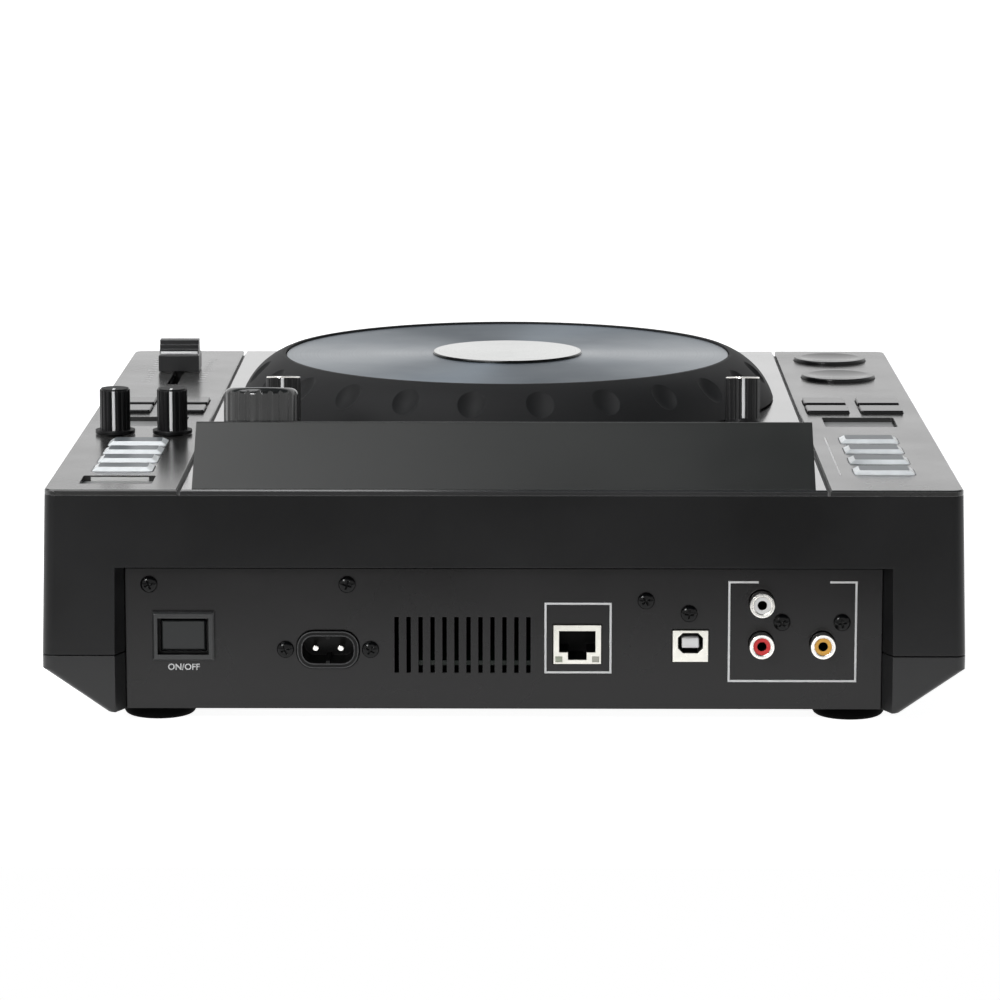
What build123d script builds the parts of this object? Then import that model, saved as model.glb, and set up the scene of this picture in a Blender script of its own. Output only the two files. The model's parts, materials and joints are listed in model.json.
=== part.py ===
"""Table-top USB media player: jog wheel, two control columns, display hood and rear jacks.

Millimetres. The origin is under the middle of the case, at the floor. +Z is up, -Y faces the user,
+Y is the rear panel's side and +X is at the user's right.
"""
import os
from math import atan2, cos, degrees, radians, sin

from build123d import *

os.makedirs("parts", exist_ok=True)

# Case
deck_width = 310.0
deck_length = 336.5
upper_case_height = 54.5
lower_case_height = 20.0
plate_thickness = 2.0
case_flare = 1.4
case_corner = 4.0
inner_corner = 1.0
wall = 3.0
top_wall = 2.5
floor_thickness = 2.5
seam_gap = 0.4
seam_tongue_thickness = 1.2
seam_tongue_height = 3.0
seam_tongue_gap = 0.15
bevel_height = 15.0
side_bevel = 21.8
front_bevel = 14.0
cut_margin = 1.0

# Feet
foot_height = 5.0
foot_radius = 12.4
foot_round = 2.0
foot_side_inset = 16.2
foot_rear_inset = 22.0
foot_front_inset = 34.0

# Case posts and the screws that hold the two case halves together
post_radius = 4.0
post_side_inset = 51.0
post_rear_inset = 45.0
post_front_inset = 17.0
post_gap = 0.3
bottom_screw_length = 28.0
screw_radius = 1.5
screw_hole_gap = 0.1
screw_head_radius = 2.9
screw_head_height = 1.8
screw_sink = 2.2
screw_head_round = 1.1

# Rear panel and its recess: places on the panel are given for this width and spread with it
panel_margin = 26.6
panel_drawn_width = 256.8
panel_height = 48.6
panel_inset = 5.5
panel_thickness = 1.5
panel_gap = 0.2
panel_lip = 2.0
lip_thickness = 2.0
recess_splay = 3.3
recess_rise = 1.5
frame_wall = 2.5
rear_screw_length = 4.0

# Vent slots
vent_pitch = 4.07
vent_width = 1.5
vent_height = 19.3
vent_center_height = 22.2
vent_inlet_gap = 5.0
vent_network_gap = 7.7

# Rear fittings: X is measured from the panel's nearer end, height from the panel's lower edge
switch_from_left = 19.6
switch_height = 25.3
switch_frame_width = 21.1
switch_frame_height = 16.9
switch_frame_rise = 2.0
switch_frame_edge = 0.8
switch_mouth_width = 17.4
switch_mouth_height = 12.6
switch_mouth_depth = 3.0
switch_body_inset = 1.0
switch_body_depth = 16.0
power_button_width = 15.2
power_button_height = 10.6
power_button_length = 10.0
power_button_recess = 2.2
power_button_edge = 0.6
power_travel = 3.0

inlet_from_left = 68.7
inlet_height = 20.6
inlet_width = 20.9
inlet_tall = 12.8
inlet_corner = 5.6
inlet_rise = 1.2
inlet_wall = 1.7
inlet_depth = 17.0
inlet_cavity_depth = 13.5
inlet_key_width = 1.4
inlet_key_depth = 1.0
inlet_flange_width = 35.0
inlet_flange_thickness = 2.0
inlet_screw_spacing = 28.9
pin_radius = 1.2
pin_spacing = 8.6
pin_recess = 2.5
pin_round = 0.6

network_offset = -25.0
network_width = 16.1
network_tall = 13.4
network_depth = 21.0
network_rise = 0.8
network_port_width = 12.4
network_port_tall = 7.4
network_port_drop = 2.0
network_port_depth = 14.0
network_latch_width = 6.4
network_latch_tall = 2.6

device_usb_from_right = 65.0
device_usb_height = 22.0
device_usb_width = 12.0
device_usb_tall = 10.8
device_usb_depth = 16.0
device_usb_rise = 0.8
device_usb_port_width = 8.5
device_usb_port_tall = 7.0
device_usb_port_drop = 0.8
device_usb_port_bevel = 1.7
device_usb_port_depth = 9.0
device_usb_tongue_width = 5.6
device_usb_tongue_tall = 3.2
device_usb_tongue_recess = 0.8

phono_inner_from_right = 41.0
phono_outer_from_right = 20.3
phono_low_height = 22.9
phono_pitch = 14.2
phono_radius = 4.15
phono_shell_wall = 0.75
phono_rise = 6.4
phono_depth = 9.0
phono_insulator_recess = 0.7
phono_pin_hole = 1.6
jack_gap = 0.25

# Rear screws, as X from the panel's nearer end and height over its lower edge
left_rear_screws = [(8.1, 43.1), (75.3, 43.1)]
right_rear_screws = [(80.1, 37.6), (65.5, 33.2), (34.0, 30.2), (13.6, 30.2)]

# Circuit boards
board_thickness = 1.6
board_rear_gap = 1.0
main_board_rise = 15.8
main_board_length = 140.0
main_board_margin = 11.4
standoff_radius = 3.0
standoff_inset = 8.0
supply_board_rise = 10.6
supply_board_width = 60.0
supply_board_length = 110.0
supply_board_margin = 32.0
board_gap = 7.4
transformer_width = 32.0
transformer_length = 36.0
transformer_height = 26.0
transformer_from_rear = 70.0
capacitor_radius = 8.0
capacitor_height = 22.0
capacitor_from_rear = 34.0
capacitor_pitch = 24.0
post_board_gap = 1.0

# Control columns: side plates and groove
side_plate_width = 45.1
groove_width = 0.9
plate_edge = 0.5
left_column_inset = 24.2
right_column_inset = 23.2

# Buttons: rows are given for a deck of this length and spread with it
row_drawn_length = 336.5
key_gap = 0.3
key_flange = 1.0
key_flange_thickness = 1.0
key_corner = 0.8
key_edge = 0.3
key_travel = 1.0
lit_width = 20.8
lit_rise = 1.4
lit_skirt = 1.8
lit_shoulder = 0.2
hot_cue_length = 13.0
hot_cue_first = 37.6
hot_cue_pitch = 22.4
loop_length = 12.5
loop_first = 42.5
loop_pitch = 18.45
lit_count = 4
mode_width = 15.7
mode_length = 13.9
mode_rise = 1.2
mode_spacing = 20.2
mode_first = 175.0
mode_pitch = 19.5
well_width = 26.0
well_length = 21.7
well_drop = 1.6
well_first = 148.0
transport_radius = 14.5
transport_rise = 1.4
transport_dish_radius = 90.0
transport_dish_depth = 0.8
transport_edge = 0.5
cue_from_front = 75.0
play_from_front = 26.7

# Switch boards under the columns
switch_board_drop = 5.0
switch_board_width = 38.0
switch_side = 6.0
switch_clearance = 0.3
boss_radius = 2.5
boss_spacing = 32.0
switch_board_end = 11.0
front_board_end = 18.0
front_boss_reach = 14.5
lit_boss_steps = (0.5, 2.5)

# Socket for the stick
stick_well_width = 24.8
stick_well_length = 16.6
stick_well_from_rear = 20.1
stick_well_floor = 1.0
stick_well_flange = 1.0
stick_port_width = 14.5
stick_port_length = 6.8
stick_port_wall = 0.6
stick_port_depth = 16.0
stick_port_base = 2.0
stick_tongue_width = 11.1
stick_tongue_length = 1.9
stick_tongue_recess = 1.0
stick_fit = 0.1

# Knobs
shaft_radius = 3.0
shaft_fit = 0.05
bushing_radius = 4.0
bushing_gap = 0.25
rotary_body_width = 9.8
rotary_body_length = 11.0
rotary_body_height = 6.0
rotary_body_floor = 1.0
knob_lift = 0.4
knob_cap = 0.6
knob_cap_inset = 0.5
flute_count = 18
flute_radius = 0.55
flute_depth = 0.3
pointer_width = 1.2
pointer_depth = 0.5
deck_knob_radius = 5.5
deck_knob_height = 16.4
deck_knob_flange_radius = 7.2
deck_knob_flange = 1.2
deck_knob_spacing = 20.8
deck_knob_from_rear = 119.4

# Pitch fader
fader_from_front = 56.0
fader_slot_width = 4.2
fader_slot_length = 78.0
fader_travel = 30.0
fader_body_width = 9.0
fader_body_length = 90.0
fader_body_height = 8.0
fader_body_wall = 1.5
fader_body_gap = 0.3
fader_stem_width = 3.2
fader_stem_length = 6.0
fader_stem_reach = 5.0
fader_cap_width = 16.1
fader_cap_length = 14.0
fader_cap_lift = 0.5
fader_cap_base = 6.8
fader_cap_edge = 0.6
fader_grip_width = 15.5
fader_grip_length = 9.4
fader_tiers = 3
fader_tier_height = 1.75
fader_tier_step = 1.0

# Display hood
hood_side_gap = 4.9
hood_depth = 102.5
hood_ridge_from_rear = 24.0
hood_ridge_height = 19.5
hood_front_height = 6.5
hood_front_lean = 1.5
hood_to_jog = 6.1
hood_wall = 2.5
hood_ridge_round = 1.4
hood_knob_strip = 51.5
window_length = 66.0
window_thickness = 1.3
window_gap = 0.15
window_ledge = 4.0
screen_thickness = 3.0
screen_from_ridge = 37.5
cable_slot_width = 60.0
cable_slot_length = 10.0
cable_slot_from_rear = 64.0
display_knob_radius = 6.1
display_knob_height = 16.0
display_knob_from_rear = 78.0
right_display_knob_inset = 26.5
left_display_knob_inset = 21.0
browse_inset = 20.5
browse_from_rear = 49.0
browse_radius = 12.9
browse_height = 11.8
browse_crown = 2.6
browse_flute_count = 20
browse_flute_radius = 1.5
browse_flute_depth = 0.45
browse_travel = 0.6
browse_seat = 0.9
browse_seat_gap = 0.4
encoder_side = 12.5
encoder_height = 7.0
rotor_radius = 4.6
rotor_height = 3.4
rotor_play = 0.3

# Jog wheel
jog_front_margin = 23.7
jog_side_margin = 6.9
jog_plate_thickness = 3.0
jog_plate_height = 16.9
jog_plate_edge = 0.4
jog_ring_width = 17.1
jog_ring_lift = 0.6
jog_ring_bulge_inset = 5.7
jog_ring_bulge_height = 10.7
jog_ring_lip_rise = 0.7
jog_ring_lip_width = 1.2
jog_ring_ledge = 5.0
jog_ring_ledge_thickness = 2.0
jog_ring_wall = 4.0
jog_plate_fit = 0.1
dimple_count = 24
dimple_radius = 8.0
dimple_reach = 11.0
dimple_lean = 45.0
dimple_inset = 2.3
dimple_center_height = 15.9
jog_disc_radius = 28.6
jog_disc_thickness = 1.0
jog_disc_edge = 0.4
hub_radius = 12.0
hub_gap = 0.4
jog_shaft_radius = 4.0
jog_shaft_seat = 8.0
jog_shaft_tail = 1.0
bearing_flange_radius = 16.0
bearing_radius = 10.0
bearing_length = 18.0
bearing_gap = 0.15

# Levels
base_z = foot_height
floor_z = base_z + floor_thickness
seam_z = base_z + lower_case_height
case_top = seam_z + upper_case_height
case_ceiling = case_top - top_wall
deck_z = case_top + plate_thickness

main_board_top = base_z + main_board_rise
supply_board_top = base_z + supply_board_rise
key_window = key_flange + key_gap
key_flange_z = case_top - key_gap - key_flange_thickness
switch_board_top = case_ceiling - switch_board_drop

# Outlines of the case
seam_width = deck_width + 2 * case_flare
seam_length = deck_length + 2 * case_flare
base_width = seam_width - 2 * side_bevel
base_length = seam_length - front_bevel
bevel_z = base_z + bevel_height
rear_y = deck_length / 2
panel_width = deck_width - 2 * panel_margin
panel_half = panel_width / 2
panel_face_y = rear_y - panel_inset
panel_back_y = panel_face_y - panel_thickness
lip_back_y = panel_back_y - lip_thickness
panel_top = base_z + panel_height
recess_top = panel_top + recess_rise
frame_half_width = panel_half + recess_splay + frame_wall
frame_top = recess_top + frame_wall

# Places on the rear panel
panel_spread = panel_width / panel_drawn_width
switch_x = panel_half - switch_from_left * panel_spread
inlet_x = panel_half - inlet_from_left * panel_spread
network_x = network_offset * panel_spread
device_usb_x = device_usb_from_right * panel_spread - panel_half
phono_inner_x = phono_inner_from_right * panel_spread - panel_half
phono_outer_x = phono_outer_from_right * panel_spread - panel_half
phono_spots = {
    "white": (phono_inner_x, base_z + phono_low_height + phono_pitch),
    "red": (phono_inner_x, base_z + phono_low_height),
    "orange": (phono_outer_x, base_z + phono_low_height),
}
switch_spot = (switch_x, base_z + switch_height)
inlet_spot = (inlet_x, base_z + inlet_height)
network_spot = (network_x, main_board_top + network_tall / 2)
device_usb_spot = (device_usb_x, base_z + device_usb_height)
inlet_screws = [(inlet_x + sign * inlet_screw_spacing / 2, inlet_spot[1]) for sign in (-1, 1)]
rear_screw_spots = [(panel_half - x * panel_spread, base_z + z) for x, z in left_rear_screws]
rear_screw_spots += [(x * panel_spread - panel_half, base_z + z) for x, z in right_rear_screws]
rear_screw_spots += inlet_screws

# Vent slots fill the panel between the network jack and the mains inlet
vent_low = network_x + network_width / 2 + vent_network_gap
vent_high = inlet_x - inlet_flange_width / 2 - vent_inlet_gap
vent_count = int((vent_high - vent_low - vent_width) / vent_pitch) + 1
vent_spot = ((vent_low + vent_high) / 2, base_z + vent_center_height)

# Places on the deck
left_column_x = left_column_inset - deck_width / 2
right_column_x = deck_width / 2 - right_column_inset
groove_x = deck_width / 2 - side_plate_width
row_spread = deck_length / row_drawn_length


def from_rear(distance):
    """Y of a point this far in front of the deck's rear edge."""
    return rear_y - distance


def from_front(distance):
    """Y of a point this far behind the deck's front edge."""
    return -rear_y + distance


def row(distance):
    """Y of a row of controls, counted from the rear edge of the drawn deck."""
    return from_rear(distance * row_spread)


def upright(y):
    """Upright plane at y, X across and Z up, which extrudes towards the user."""
    return Plane.XZ.offset(-y)


def save(piece, node):
    """Label a finished piece and write it as its own file."""
    piece.part.label = node
    export_step(piece.part, f"parts/{node}.step")


# The jog wheel fills the deck between the hood and the front, or between the columns if that is less
jog_room_length = deck_length - hood_depth - hood_to_jog - jog_front_margin
jog_room_width = 2 * (groove_x - groove_width - jog_side_margin)
jog_ring_radius = min(jog_room_length, jog_room_width) / 2
jog_plate_radius = jog_ring_radius - jog_ring_width
jog_y = from_front(jog_front_margin + jog_room_length / 2)

# Centres of the controls
hot_cue_spots = [(left_column_x, row(hot_cue_first + hot_cue_pitch * i)) for i in range(lit_count)]
loop_spots = [(right_column_x, row(loop_first + loop_pitch * i)) for i in range(lit_count)]
well_spots = {"left": (left_column_x, row(well_first)), "right": (right_column_x, row(well_first))}
mode_rows = [row(mode_first), row(mode_first + mode_pitch)]
mode_spots = {
    side: [(x + mode_spacing * (across - 0.5), y) for y in mode_rows for across in range(2)]
    for side, x in (("left", left_column_x), ("right", right_column_x))
}
transport_spots = {
    "cue_button": (left_column_x, from_front(cue_from_front)),
    "play_button": (left_column_x, from_front(play_from_front)),
}
stick_spot = (right_column_x, row(stick_well_from_rear))
deck_knob_spots = {
    "inner_deck_knob": (right_column_x - deck_knob_spacing / 2, row(deck_knob_from_rear)),
    "outer_deck_knob": (right_column_x + deck_knob_spacing / 2, row(deck_knob_from_rear)),
}
fader_spot = (right_column_x, from_front(fader_from_front))
post_spots = [
    (sign * (deck_width / 2 - post_side_inset), y)
    for sign in (-1, 1)
    for y in (from_rear(post_rear_inset), from_front(post_front_inset))
]

# Bosses that hold the switch boards, beside the lit keys and in front of the mode keys
front_boss_y = mode_rows[-1] - front_boss_reach
boss_spots = [(left_column_x, row(hot_cue_first + hot_cue_pitch * step)) for step in lit_boss_steps]
boss_spots += [(right_column_x, row(loop_first + loop_pitch * step)) for step in lit_boss_steps]
boss_spots += [(left_column_x, front_boss_y), (right_column_x, front_boss_y)]
boss_spots += [(left_column_x, from_front((cue_from_front + play_from_front) / 2))]

# Keys of each column: spot, width and length
left_keys = [(spot, lit_width, hot_cue_length) for spot in hot_cue_spots]
left_keys += [(spot, mode_width, mode_length) for spot in mode_spots["left"]]
left_keys += [(well_spots["left"], well_width, well_length)]
right_keys = [(spot, lit_width, loop_length) for spot in loop_spots]
right_keys += [(spot, mode_width, mode_length) for spot in mode_spots["right"]]
right_keys += [(well_spots["right"], well_width, well_length)]
stick_key = (stick_spot, stick_well_width, stick_well_length)

# Display hood: the sloping face starts at the ridge and falls towards the jog wheel
hood_half_width = groove_x - hood_side_gap
window_width = 2 * (hood_half_width - hood_knob_strip)
hood_run = hood_depth - hood_ridge_from_rear
hood_angle = degrees(atan2(hood_ridge_height - hood_front_height, hood_run))
hood_face = Plane(
    origin=(0, from_rear(hood_ridge_from_rear), deck_z + hood_ridge_height),
    x_dir=(1, 0, 0),
    z_dir=(0, -sin(radians(hood_angle)), cos(radians(hood_angle))),
)


def on_hood(x, distance_from_rear):
    """Plane on the hood's sloping face, below a deck point, whose normal is a knob's axis."""
    down_slope = (distance_from_rear - hood_ridge_from_rear) / cos(radians(hood_angle))
    return Plane(
        origin=hood_face.from_local_coords((x, -down_slope, 0)),
        x_dir=hood_face.x_dir,
        z_dir=hood_face.z_dir,
    )


def on_deck(spot):
    """Plane on the deck's upper face at a control's centre."""
    return Plane(origin=(spot[0], spot[1], deck_z))


browse_plane = on_hood(hood_half_width - browse_inset, browse_from_rear)
display_knob_planes = {
    "left_display_knob": on_hood(left_display_knob_inset - hood_half_width, display_knob_from_rear),
    "right_display_knob": on_hood(hood_half_width - right_display_knob_inset, display_knob_from_rear),
}
deck_knob_planes = {node: on_deck(spot) for node, spot in deck_knob_spots.items()}
deck_stack = plate_thickness + top_wall


def key_holes(keys, gap):
    """Holes for a column's keys, with a gap all round, drawn on the deck."""
    with BuildSketch(Plane.XY.offset(deck_z)) as holes:
        for spot, width, length in keys:
            with Locations(spot):
                RectangleRounded(width + 2 * gap, length + 2 * gap, key_corner + gap)
    return holes.sketch


def round_holes(spots, radius):
    """Round holes drawn on the deck."""
    with BuildSketch(Plane.XY.offset(deck_z)) as holes:
        with Locations(*spots):
            Circle(radius)
    return holes.sketch


def slab(spot, width, length):
    """A rectangle drawn on the deck."""
    with BuildSketch(Plane.XY.offset(deck_z)) as outline:
        with Locations(spot):
            Rectangle(width, length)
    return outline.sketch


def recess_section(y, spread, top):
    """The rear recess in section: open at the bottom, wider than the panel by spread on each side."""
    bottom = base_z - cut_margin
    with BuildSketch(upright(y)) as section:
        with Locations((0, (bottom + top) / 2)):
            Rectangle(panel_width + 2 * spread, top - bottom)
    return section.sketch


def frame_section(bottom, top):
    """Block behind the rear wall that the recess is cut into."""
    with BuildSketch(upright(rear_y - wall / 2)) as section:
        with Locations((0, (bottom + top) / 2)):
            Rectangle(2 * frame_half_width, top - bottom)
    return section.sketch


frame_depth = rear_y - wall / 2 - lip_back_y

# Upper case: a drafted shell with windows under the plates and a recess for the rear panel
with BuildPart() as upper_case:
    with BuildSketch(Plane.XY.offset(case_top)):
        RectangleRounded(deck_width, deck_length, case_corner)
    with BuildSketch(Plane.XY.offset(seam_z)):
        RectangleRounded(seam_width, seam_length, case_corner)
    loft(ruled=True)
    with BuildSketch(Plane.XY.offset(case_ceiling)):
        RectangleRounded(deck_width - 2 * wall, deck_length - 2 * wall, inner_corner)
    with BuildSketch(Plane.XY.offset(seam_z)):
        RectangleRounded(seam_width - 2 * wall, seam_length - 2 * wall, inner_corner)
    loft(ruled=True, mode=Mode.SUBTRACT)
    extrude(frame_section(seam_z, frame_top), amount=frame_depth)
    loft(
        [
            recess_section(rear_y + case_flare, recess_splay, recess_top),
            recess_section(panel_face_y, panel_gap, panel_top + panel_gap),
        ],
        ruled=True,
        mode=Mode.SUBTRACT,
    )
    extrude(
        recess_section(panel_face_y, panel_gap, panel_top + panel_gap),
        amount=panel_thickness,
        mode=Mode.SUBTRACT,
    )
    extrude(
        recess_section(panel_back_y, -panel_lip, panel_top - panel_lip),
        amount=lip_thickness + cut_margin,
        mode=Mode.SUBTRACT,
    )
    extrude(
        key_holes(left_keys + right_keys + [stick_key], key_window),
        amount=-deck_stack,
        mode=Mode.SUBTRACT,
    )
    extrude(
        round_holes(transport_spots.values(), transport_radius + key_window),
        amount=-deck_stack,
        mode=Mode.SUBTRACT,
    )
    extrude(
        round_holes(deck_knob_spots.values(), bushing_radius + bushing_gap),
        amount=-deck_stack,
        mode=Mode.SUBTRACT,
    )
    extrude(
        slab(fader_spot, fader_body_width + 2 * fader_body_gap, fader_body_length + 2 * fader_body_gap),
        amount=-deck_stack,
        mode=Mode.SUBTRACT,
    )
    extrude(
        slab((0, from_rear(cable_slot_from_rear)), cable_slot_width, cable_slot_length),
        amount=-deck_stack,
        mode=Mode.SUBTRACT,
    )
    extrude(round_holes([(0, jog_y)], bearing_radius + bearing_gap), amount=-deck_stack, mode=Mode.SUBTRACT)
    with BuildSketch(Plane.XY.offset(case_ceiling)):
        with Locations(*post_spots):
            Circle(post_radius)
    extrude(amount=-(case_ceiling - seam_z - post_gap))
    with BuildSketch(Plane.XY.offset(seam_z)):
        with Locations(*post_spots):
            Circle(screw_radius + screw_hole_gap)
    extrude(amount=bottom_screw_length, mode=Mode.SUBTRACT)
    with BuildSketch(Plane.XY.offset(case_ceiling)):
        with Locations(*boss_spots):
            with GridLocations(boss_spacing, 1, 2, 1):
                Circle(boss_radius)
    extrude(amount=-(case_ceiling - switch_board_top))
save(upper_case, "upper_case")

# Lower case: a tray with bevelled sides, a tongue round its rim and bosses for boards and screws
rim_z = seam_z - seam_gap
boards_taken = main_board_margin + board_gap + supply_board_width + supply_board_margin
main_board_width = panel_width - boards_taken
main_board_x = main_board_margin + main_board_width / 2 - panel_half
supply_board_x = panel_half - supply_board_margin - supply_board_width / 2
board_rear_y = lip_back_y - board_rear_gap
main_board_y = board_rear_y - main_board_length / 2
supply_board_y = board_rear_y - supply_board_length / 2
tongue_inner_inset = wall + seam_tongue_gap + seam_tongue_thickness


def rim_ring(z, outer_inset):
    """Ring inside the case wall, from outer_inset to the tongue's inner face, with a gap at the panel."""
    with BuildSketch(Plane.XY.offset(z)) as ring:
        RectangleRounded(seam_width - 2 * outer_inset, seam_length - 2 * outer_inset, inner_corner)
        RectangleRounded(
            seam_width - 2 * tongue_inner_inset,
            seam_length - 2 * tongue_inner_inset,
            inner_corner,
            mode=Mode.SUBTRACT,
        )
        with Locations((0, rear_y)):
            Rectangle(2 * (frame_half_width + post_gap), 2 * (rear_y - lip_back_y), mode=Mode.SUBTRACT)
    return ring.sketch


with BuildPart() as lower_case:
    with BuildSketch(Plane.XY.offset(rim_z)):
        RectangleRounded(seam_width, seam_length, case_corner)
    extrude(amount=-(rim_z - bevel_z))
    with BuildSketch(Plane.XY.offset(bevel_z)):
        RectangleRounded(seam_width, seam_length, case_corner)
    with BuildSketch(Plane.XY.offset(base_z)):
        with Locations((0, front_bevel / 2)):
            RectangleRounded(base_width, base_length, case_corner)
    loft(ruled=True)
    with BuildSketch(Plane.XY.offset(rim_z)):
        RectangleRounded(seam_width - 2 * wall, seam_length - 2 * wall, inner_corner)
    extrude(amount=-(rim_z - bevel_z), mode=Mode.SUBTRACT)
    with BuildSketch(Plane.XY.offset(bevel_z)):
        RectangleRounded(seam_width - 2 * wall, seam_length - 2 * wall, inner_corner)
    with BuildSketch(Plane.XY.offset(floor_z)):
        with Locations((0, front_bevel / 2)):
            RectangleRounded(base_width - 2 * wall, base_length - 2 * wall, inner_corner)
    loft(ruled=True, mode=Mode.SUBTRACT)
    extrude(rim_ring(rim_z, wall / 2), amount=-seam_tongue_height)
    extrude(rim_ring(rim_z, wall + seam_tongue_gap), amount=seam_tongue_height)
    extrude(frame_section(base_z, rim_z), amount=frame_depth)
    loft(
        [
            recess_section(rear_y + case_flare, recess_splay, recess_top),
            recess_section(panel_face_y, panel_gap, recess_top),
        ],
        ruled=True,
        mode=Mode.SUBTRACT,
    )
    extrude(recess_section(panel_face_y, panel_gap, recess_top), amount=panel_thickness, mode=Mode.SUBTRACT)
    with BuildSketch(upright(panel_back_y)):
        with Locations((0, (floor_z + recess_top) / 2)):
            Rectangle(panel_width - 2 * panel_lip, recess_top - floor_z)
    extrude(amount=lip_thickness + cut_margin, mode=Mode.SUBTRACT)
    with BuildSketch(Plane.XY.offset(base_z)):
        with Locations((main_board_x, main_board_y)):
            with GridLocations(
                main_board_width - 2 * standoff_inset, main_board_length - 2 * standoff_inset, 2, 2
            ):
                Circle(standoff_radius)
    extrude(amount=main_board_rise - board_thickness)
    with BuildSketch(Plane.XY.offset(base_z)):
        with Locations((supply_board_x, supply_board_y)):
            with GridLocations(
                supply_board_width - 2 * standoff_inset, supply_board_length - 2 * standoff_inset, 2, 2
            ):
                Circle(standoff_radius)
    extrude(amount=supply_board_rise - board_thickness)
    with BuildSketch(Plane.XY.offset(base_z)):
        with Locations(*post_spots):
            Circle(post_radius)
    extrude(amount=lower_case_height)
    with Locations(*[(x, y, base_z) for x, y in post_spots]):
        with Locations(Rotation(180, 0, 0)):
            CounterBoreHole(
                screw_radius + screw_hole_gap, screw_head_radius + post_gap, screw_sink, lower_case_height
            )
save(lower_case, "lower_case")

# Feet: four round rubber feet, rounded at the floor
foot_x = base_width / 2 - foot_side_inset
with BuildPart() as feet:
    for y in (from_rear(foot_rear_inset), from_front(foot_front_inset)):
        for x in (-foot_x, foot_x):
            with BuildSketch(Plane.XY):
                with Locations((x, y)):
                    Circle(foot_radius)
    extrude(amount=foot_height)
    fillet(feet.faces().group_by(Axis.Z)[0].edges(), foot_round)
save(feet, "feet")

# Screws: round heads on the rear panel, and sunk ones under the case
with BuildPart() as case_screws:
    with BuildSketch(upright(panel_face_y)):
        with Locations(*rear_screw_spots):
            Circle(screw_head_radius)
    extrude(amount=-screw_head_height)
    fillet(case_screws.faces().sort_by(Axis.Y).group_by(Axis.Y)[-1].edges(), screw_head_round)
    with BuildSketch(upright(panel_face_y)):
        with Locations(*rear_screw_spots):
            Circle(screw_radius)
    extrude(amount=rear_screw_length)
    with BuildSketch(Plane.XY.offset(base_z + screw_sink)):
        with Locations(*post_spots):
            Circle(screw_head_radius)
    extrude(amount=-screw_head_height)
    with BuildSketch(Plane.XY.offset(base_z + screw_sink)):
        with Locations(*post_spots):
            Circle(screw_radius)
    extrude(amount=bottom_screw_length)
save(case_screws, "case_screws")

# Rear panel: a sheet with vent slots, jack cut-outs and screw holes
switch_body_width = switch_frame_width - 2 * switch_body_inset
switch_body_height = switch_frame_height - 2 * switch_body_inset
with BuildPart() as rear_panel:
    with BuildSketch(upright(panel_face_y)):
        with Locations((0, base_z + panel_height / 2)):
            Rectangle(panel_width, panel_height)
        with Locations(vent_spot):
            with GridLocations(vent_pitch, 1, vent_count, 1):
                Rectangle(vent_width, vent_height, mode=Mode.SUBTRACT)
        with Locations(switch_spot):
            Rectangle(
                switch_body_width + 2 * jack_gap, switch_body_height + 2 * jack_gap, mode=Mode.SUBTRACT
            )
        with Locations(inlet_spot):
            RectangleRounded(
                inlet_width + 2 * jack_gap,
                inlet_tall + 2 * jack_gap,
                inlet_corner + jack_gap,
                mode=Mode.SUBTRACT,
            )
        with Locations(network_spot):
            Rectangle(network_width + 2 * jack_gap, network_tall + 2 * jack_gap, mode=Mode.SUBTRACT)
        with Locations(device_usb_spot):
            Rectangle(device_usb_width + 2 * jack_gap, device_usb_tall + 2 * jack_gap, mode=Mode.SUBTRACT)
        with Locations(*phono_spots.values()):
            Circle(phono_radius + jack_gap, mode=Mode.SUBTRACT)
        with Locations(*rear_screw_spots):
            Circle(screw_radius + screw_hole_gap, mode=Mode.SUBTRACT)
    extrude(amount=panel_thickness)
save(rear_panel, "rear_panel")

# Power switch: a frame on the panel with a guide behind it for the push button
switch_front_y = panel_face_y + switch_frame_rise
button_front_y = switch_front_y - power_button_recess
guide_depth = power_button_recess + power_button_length + power_travel + key_gap
with BuildPart() as power_switch_bezel:
    with BuildSketch(upright(switch_front_y)):
        with Locations(switch_spot):
            Rectangle(switch_frame_width, switch_frame_height)
    extrude(amount=switch_frame_rise)
    chamfer(power_switch_bezel.faces().sort_by(Axis.Y)[-1].edges(), switch_frame_edge)
    with BuildSketch(upright(panel_face_y)):
        with Locations(switch_spot):
            Rectangle(switch_body_width, switch_body_height)
    extrude(amount=switch_body_depth)
    with BuildSketch(upright(switch_front_y)):
        with Locations(switch_spot):
            Rectangle(switch_mouth_width, switch_mouth_height)
    extrude(amount=switch_mouth_depth, mode=Mode.SUBTRACT)
    with BuildSketch(upright(switch_front_y)):
        with Locations(switch_spot):
            Rectangle(power_button_width + 2 * key_gap, power_button_height + 2 * key_gap)
    extrude(amount=guide_depth, mode=Mode.SUBTRACT)
save(power_switch_bezel, "power_switch_bezel")

with BuildPart() as power_button:
    with BuildSketch(upright(button_front_y)):
        with Locations(switch_spot):
            Rectangle(power_button_width, power_button_height)
    extrude(amount=power_button_length)
    chamfer(power_button.faces().sort_by(Axis.Y)[-1].edges(), power_button_edge)
save(power_button, "power_button")

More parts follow.
